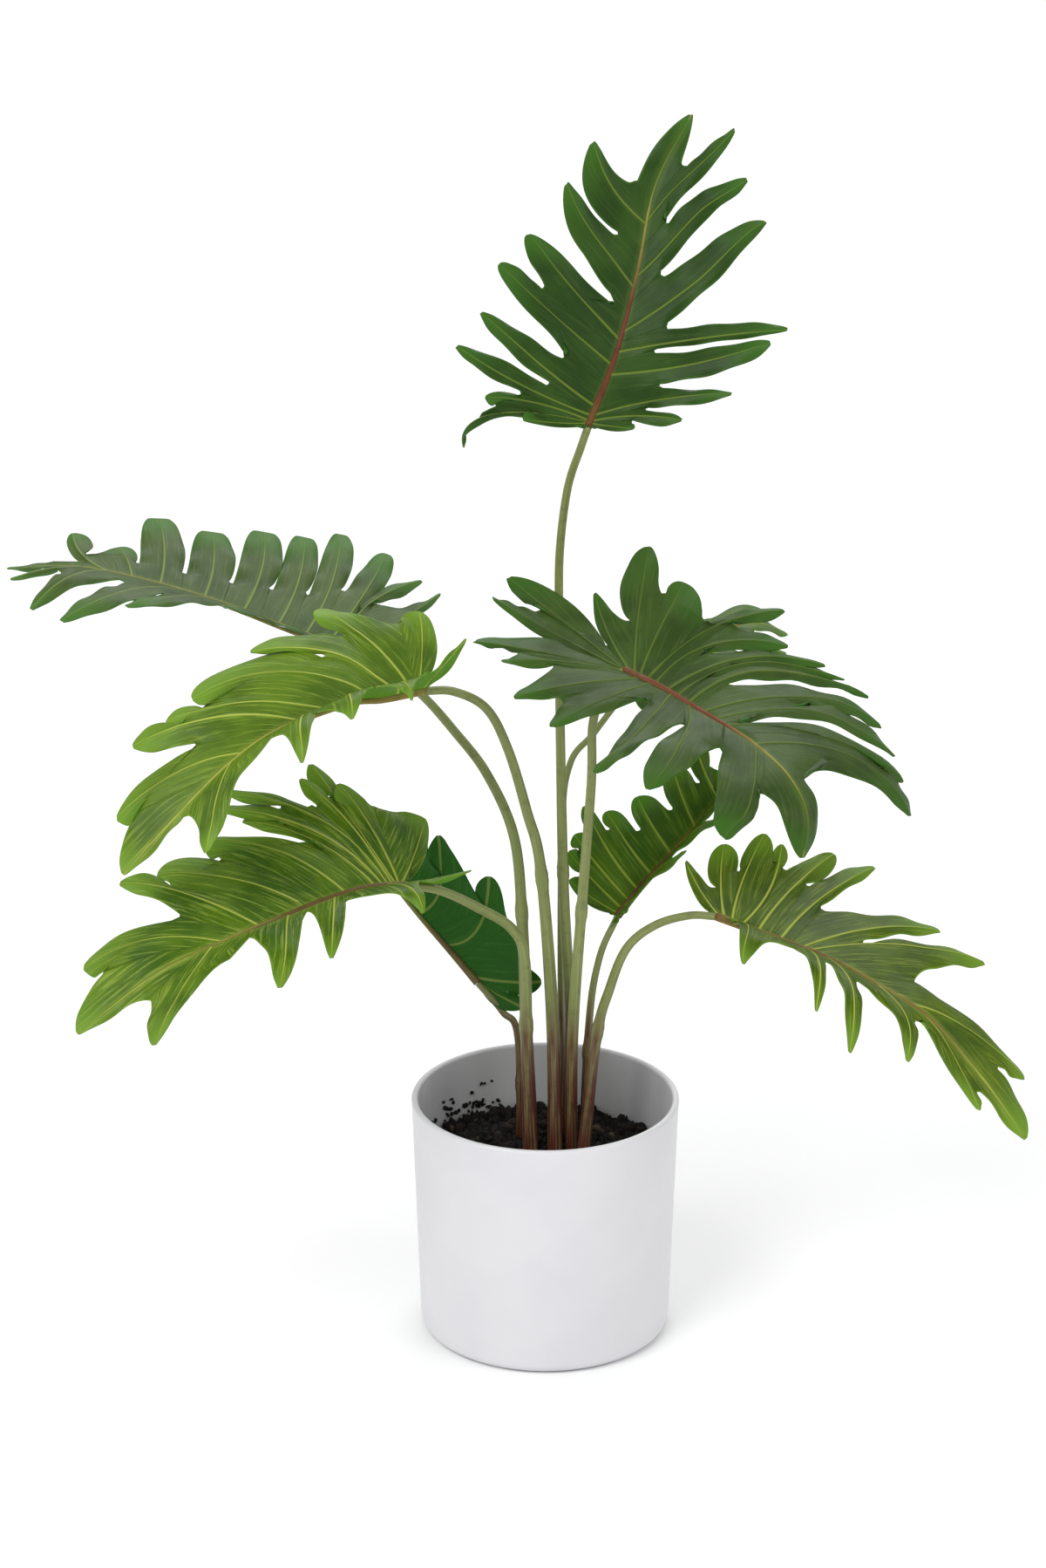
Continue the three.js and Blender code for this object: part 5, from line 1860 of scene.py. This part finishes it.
def right_broad() -> tuple[Blade, Stalk]:
    """The broad dark leaf that arches forwards on the right."""
    blade = Blade(
        name="right_broad",
        finish=BROAD_GREEN,
        midrib=[
            (36, -34, 349), (53, -48, 345), (69, -62, 339.5), (83, -78, 336),
            (95, -92, 332), (108, -110, 324), (115, -124, 311), (113, -130, 293),
        ],
        face=((-0.1, -0.2, 1), (0.6, -0.5, 0.5)),
        fold={LEFT: [14, 6, 0, -8], RIGHT: [4, 4, -6, -8]},
        sweep={LEFT: 12, RIGHT: 6},
        end=Lobe(92, 0, 0, 12, blunt=0.2, fuller=-0.1),
        lobes={
            LEFT: [
                Lobe(1, -86, 5, 5, -60, 11),
                Lobe(2, -86, 18, 9, -16, 8, 20, 0.2, -0.4),
                Lobe(4, -41, 30, 5, -17, 26, 30),
                Lobe(6, -32, 63, 11, -12, 46, 35, 0.05, 0.4),
                Lobe(9, -5, 54, 11, 13, 44, 30, 0.05, -0.3),
                Lobe(13, 31, 77, 5, 20, 53, 0, 0.2),
                Lobe(18, 43, 62, 6, 22, 31, 0, 0.2),
                Lobe(25, 55, 70, 4.5, 35, 34, -5, 0.2),
                Lobe(31, 64, 74, 3.8, 32, 20, -10, 0.2),
                Lobe(38, 77, 81, 5.5, 41, 23, -15),
                Lobe(47, 86, 78, 8.5, 69, 41, -20, 0.3, 0.3),
                Lobe(55, 100, 76, 8, 65, 6, -20, 0.3, 0.4),
                Lobe(62, 108, 76, 7, 104, 62, -20, 0.3, 0.3),
                Lobe(82, 123, 78, 9, 108, 10, -20),
            ],
            RIGHT: [
                Lobe(3, -67, 30, 10, -46, 22, 0, 0.2, 0.9),
                Lobe(6, -46, 34, 5, -27, 18),
                Lobe(10, -24, 51, 7.5, -7, 37, -10, 0.3, 0.4),
                Lobe(16, 4, 58, 8, 24, 12, -10),
                Lobe(28, 56, 73, 9, 50, 14, -15, 0.15),
                Lobe(38, 77, 60, 11, 74, 14, -20, 0.1, 0.2),
                Lobe(83, 143, 41, 13, 113, 19, -20, 0, 0.5),
            ],
        },
    )
    stalk = Stalk(
        name="right_broad",
        path=[
            (13, 2, 62), (13, -8, 150), (17, -20, 226), (21, -28, 291), (21.5, -34, 323),
            (27, -35, 340), (36, -34, 349),
        ],
        foot=3.5,
        top=2.0,
        knuckle=224,
    )
    return blade, stalk


def middle_small() -> tuple[Blade, Stalk]:
    """The small dark leaf in the middle, folded and half hidden."""
    blade = Blade(
        name="middle_small",
        finish=LUSH_GREEN,
        midrib=[(35, 22, 205), (46, 28, 217), (59, 36, 229), (74, 46, 243), (94, 58, 265)],
        face=((-0.2, -0.75, 0.6), (-0.3, -0.8, 0.6)),
        fold={LEFT: [20], RIGHT: [68]},
        sweep={LEFT: 8, RIGHT: 8},
        end=Lobe(70, 0, 0, 7, blunt=0.3),
        lobes={
            LEFT: [
                Lobe(1, -2, 29, 5, 5, 26),
                Lobe(4, 9, 38, 5, 13, 35),
                Lobe(9, 16, 41, 5, 20, 35),
                Lobe(16, 28, 47, 5, 28, 30, 0, 0.2),
                Lobe(26, 34, 37, 7, 38, 19, 0, 0.05, -0.2),
                Lobe(40, 50, 31, 9, 57, 14, 0, 0.05, -0.2),
                Lobe(58, 75, 28, 9, 76, 12, 0, 0.2),
                Lobe(76, 94, 30, 7, 86, 12, 0, 0.2),
            ],
            RIGHT: [
                Lobe(1, -8, 16, 4, 0, 9, 0, 0.2),
                Lobe(6, 10, 26, 5, 18, 12, 0, 0.2),
                Lobe(22, 38, 38, 5, 38, 13, -15, 0.2),
                Lobe(42, 64, 42, 5, 60, 12, -25, 0.2),
                Lobe(60, 88, 30, 6, 82, 8, -20, 0.2),
            ],
        },
    )
    stalk = Stalk(
        name="middle_small",
        path=[(18, 10, 62), (21, 8, 151), (26, 13, 186), (35, 22, 205)],
        foot=2.5,
        top=1.6,
        knuckle=140,
    )
    return blade, stalk


def lower_right() -> tuple[Blade, Stalk]:
    """The bright leaf that hangs out furthest on the right."""
    blade = Blade(
        name="lower_right",
        finish=LOW_RIGHT_GREEN,
        midrib=[
            (81, -24, 223), (104, -38, 219), (131, -56, 215), (154, -70, 207),
            (176, -84, 197), (198, -100, 176), (220, -112, 148),
        ],
        face=((0.1, -0.1, 1), (0.5, -0.5, 0.8)),
        fold={LEFT: [14, 4, 0, 0], RIGHT: [44, 34, 16, 0, 0]},
        sweep={LEFT: 12, RIGHT: -16},
        end=Lobe(99, 0, 0, 10, blunt=0.15, fuller=0.55),
        lobes={
            LEFT: [
                Lobe(1, -32, 25, 4, -11, 18, 30),
                Lobe(4, -21, 43, 9, -7, 33, 25, 0.1),
                Lobe(8, -7, 58, 8, 6, 47, 25, 0.2),
                Lobe(13, 3, 57, 5, 10, 46, 20),
                Lobe(22, 24, 69, 8, 23, 44, 10, 0.15),
                Lobe(34, 40, 78, 6.5, 36, 34, 0, 0.15, 0.4),
                Lobe(46, 87, 64, 9, 66, 23, -10, 0.15, 0.4),
                Lobe(50, 112, 62, 9, 98, 17, -10, 0.25, -0.15),
                Lobe(106, 167, 26, 7, 154, 15, -10, 0.2, 0.1),
            ],
            RIGHT: [
                Lobe(8, 35, 41, 5.5, 46, 14, -105, 0.2),
                Lobe(46, 76, 42, 4, 64, 10, -92),
                Lobe(59, 102, 50, 5.5, 81, 9, -70, 0.2),
                Lobe(86, 128, 29, 6, 114, 7, -40),
                Lobe(111, 164, 13, 5.5, 157, 6, -20, 0.2, 0.15),
            ],
        },
    )
    stalk = Stalk(
        name="lower_right",
        path=[
            (16, -9, 62), (24, -9, 150), (31, -8, 180), (39, -11, 202), (52, -15, 215),
            (68, -20, 222), (81, -24, 223),
        ],
        foot=3.7,
        top=1.8,
        knuckle=158,
    )
    return blade, stalk


def rear() -> tuple[Blade, Stalk]:
    """The leaf at the back, mostly hidden by the broad one."""
    blade = Blade(
        name="rear",
        finish=LUSH_GREEN,
        midrib=[(43, 66, 308), (59, 82, 315), (83, 100, 322), (103, 112, 324), (121, 122, 315)],
        face=((-0.1, -0.35, 1), (0.2, -0.2, 1)),
        fold={LEFT: [8], RIGHT: [8]},
        sweep={LEFT: 10, RIGHT: 10},
        end=Lobe(65, 0, 0, 8, blunt=0.3),
        lobes={
            LEFT: [
                Lobe(1, -15, 41, 6, -8, 10),
                Lobe(8, -4, 24, 6, 8, 12),
                Lobe(22, 26, 24, 7, 34, 12),
                Lobe(40, 56, 22, 7, 58, 12),
                Lobe(60, 90, 14, 7, 76, 7),
            ],
            RIGHT: [
                Lobe(1, -14, 30, 6, -4, 14),
                Lobe(10, 4, 40, 7, 12, 18),
                Lobe(24, 28, 42, 8, 34, 18),
                Lobe(40, 54, 42, 8, 56, 14),
                Lobe(58, 74, 38, 7, 74, 7),
            ],
        },
    )
    stalk = Stalk(
        name="rear",
        path=[
            (9, 20, 62), (8, 24, 147), (8, 34, 245), (12, 42, 276), (23, 50, 288), (33, 58, 299),
            (43, 66, 308),
        ],
        foot=2.2,
        top=1.5,
        knuckle=250,
    )
    return blade, stalk


@dataclass(frozen=True)
class Softbox:
    """A lamp with a flat face: its place, what it looks at, its size and its power."""

    name: str
    place: Point
    aim: Point
    size: Span
    power: float

    def build(self) -> None:
        """Makes the lamp and turns it towards its aim."""
        data = bpy.data.lights.new(self.name, "AREA")
        data.shape, data.energy = "RECTANGLE", self.power
        data.size, data.size_y = self.size
        lamp = add_object(self.name, data)
        lamp.location = self.place
        away = Vector(self.place) - Vector(self.aim)
        lamp.rotation_euler = away.to_track_quat("Z", "Y").to_euler()


@dataclass(frozen=True)
class Studio:
    """A plain pale floor, soft light and the camera at the photograph's viewing angle."""

    eye: Point = (-0.0108, -1.9, 0.98)
    pitch: float = 69.8
    lens: float = 147.36
    sensor: float = 36.0
    far: float = 50.0
    floor_radii: Span = (0.05, 1.8)
    floor_rings: int = 24
    floor_around: int = 96
    floor_drop: float = 0.0004
    floor_white: float = 0.93
    floor_rough: float = 0.9
    floor_shine: float = 0.1
    sky_light: float = 0.7
    sky_seen: float = 1.05
    sky_colour: Point = (0.99, 0.99, 1.0)
    lamps: tuple[Softbox, ...] = (
        Softbox("key", (-1.3, -1.5, 2.2), (0, 0, 0.3), (1.6, 1.6), 42.0),
        Softbox("fill", (1.7, -1.0, 1.4), (0, 0, 0.3), (1.4, 1.4), 12.0),
        Softbox("back", (0.4, 1.7, 1.9), (0, 0, 0.35), (1.6, 1.0), 16.0),
    )

    def camera(self) -> None:
        """The camera, level and turned down, with no lens shift."""
        data = bpy.data.cameras.new("camera")
        data.sensor_fit, data.sensor_width, data.lens = "HORIZONTAL", self.sensor, self.lens
        data.clip_end = self.far
        camera = add_object("camera", data)
        camera.location = self.eye
        camera.rotation_euler = (math.radians(self.pitch), 0.0, 0.0)
        bpy.context.scene.camera = camera

    def floor(self) -> None:
        """A wide flat disc under the pot."""
        rings, around = self.floor_rings, self.floor_around
        radius = np.geomspace(*self.floor_radii, rings)[:, None]
        points = spun(radius, -self.floor_drop, full_turn(around))
        faces = grid_faces(rings, around, closed=True)[:, ::-1].tolist()
        mesh = bpy.data.meshes.new("floor")
        mesh.from_pydata(points.reshape(-1, 3).tolist(), [], [*faces, list(range(around))])
        material = bpy.data.materials.new("pale floor")
        material.use_nodes = True
        inputs = material.node_tree.nodes["Principled BSDF"].inputs
        inputs["Base Color"].default_value = (*[self.floor_white] * 3, 1)
        inputs["Roughness"].default_value = self.floor_rough
        inputs["Specular IOR Level"].default_value = self.floor_shine
        mesh.materials.append(material)
        floor = add_object("floor", mesh)

    def sky(self) -> None:
        """A white world, which lights the plant more softly than it looks to the camera."""
        world = bpy.data.worlds.new("studio")
        bpy.context.scene.world = world
        world.use_nodes = True
        tree = world.node_tree
        back = tree.nodes["Background"]
        back.inputs["Color"].default_value = (*self.sky_colour, 1.0)
        ray = tree.nodes.new("ShaderNodeLightPath")
        strength = tree.nodes.new("ShaderNodeMath")
        strength.operation = "MULTIPLY_ADD"
        strength.inputs[1].default_value = self.sky_seen - self.sky_light
        strength.inputs[2].default_value = self.sky_light
        tree.links.new(ray.outputs["Is Camera Ray"], strength.inputs[0])
        tree.links.new(strength.outputs[0], back.inputs["Strength"])

    def build(self) -> None:
        """Sets up the camera, the floor and the lights."""
        self.camera()
        self.floor()
        self.sky()
        for lamp in self.lamps:
            lamp.build()
        bpy.context.scene.view_settings.view_transform = "Standard"


LEAVES = (
    crown,
    upper_left,
    left,
    lower_left,
    low_shaded,
    right_broad,
    middle_small,
    lower_right,
    rear,
)


def main() -> None:
    """Builds the plant piece by piece, then the studio round it."""
    pot = Pot()
    log.info("pot: %s", pot.build(POT_GLAZE).name)
    for piece in Soil(pot).build(POTTING_SOIL):
        log.info("soil: %s", piece.name)
    for make in LEAVES:
        blade, stalk = make()
        for piece in [*blade.build(), stalk.build(STALK_GREEN)]:
            log.info("leaf: %s, %d faces", piece.name, len(piece.data.polygons))
    Studio().build()


if __name__ == "__main__":
    main()
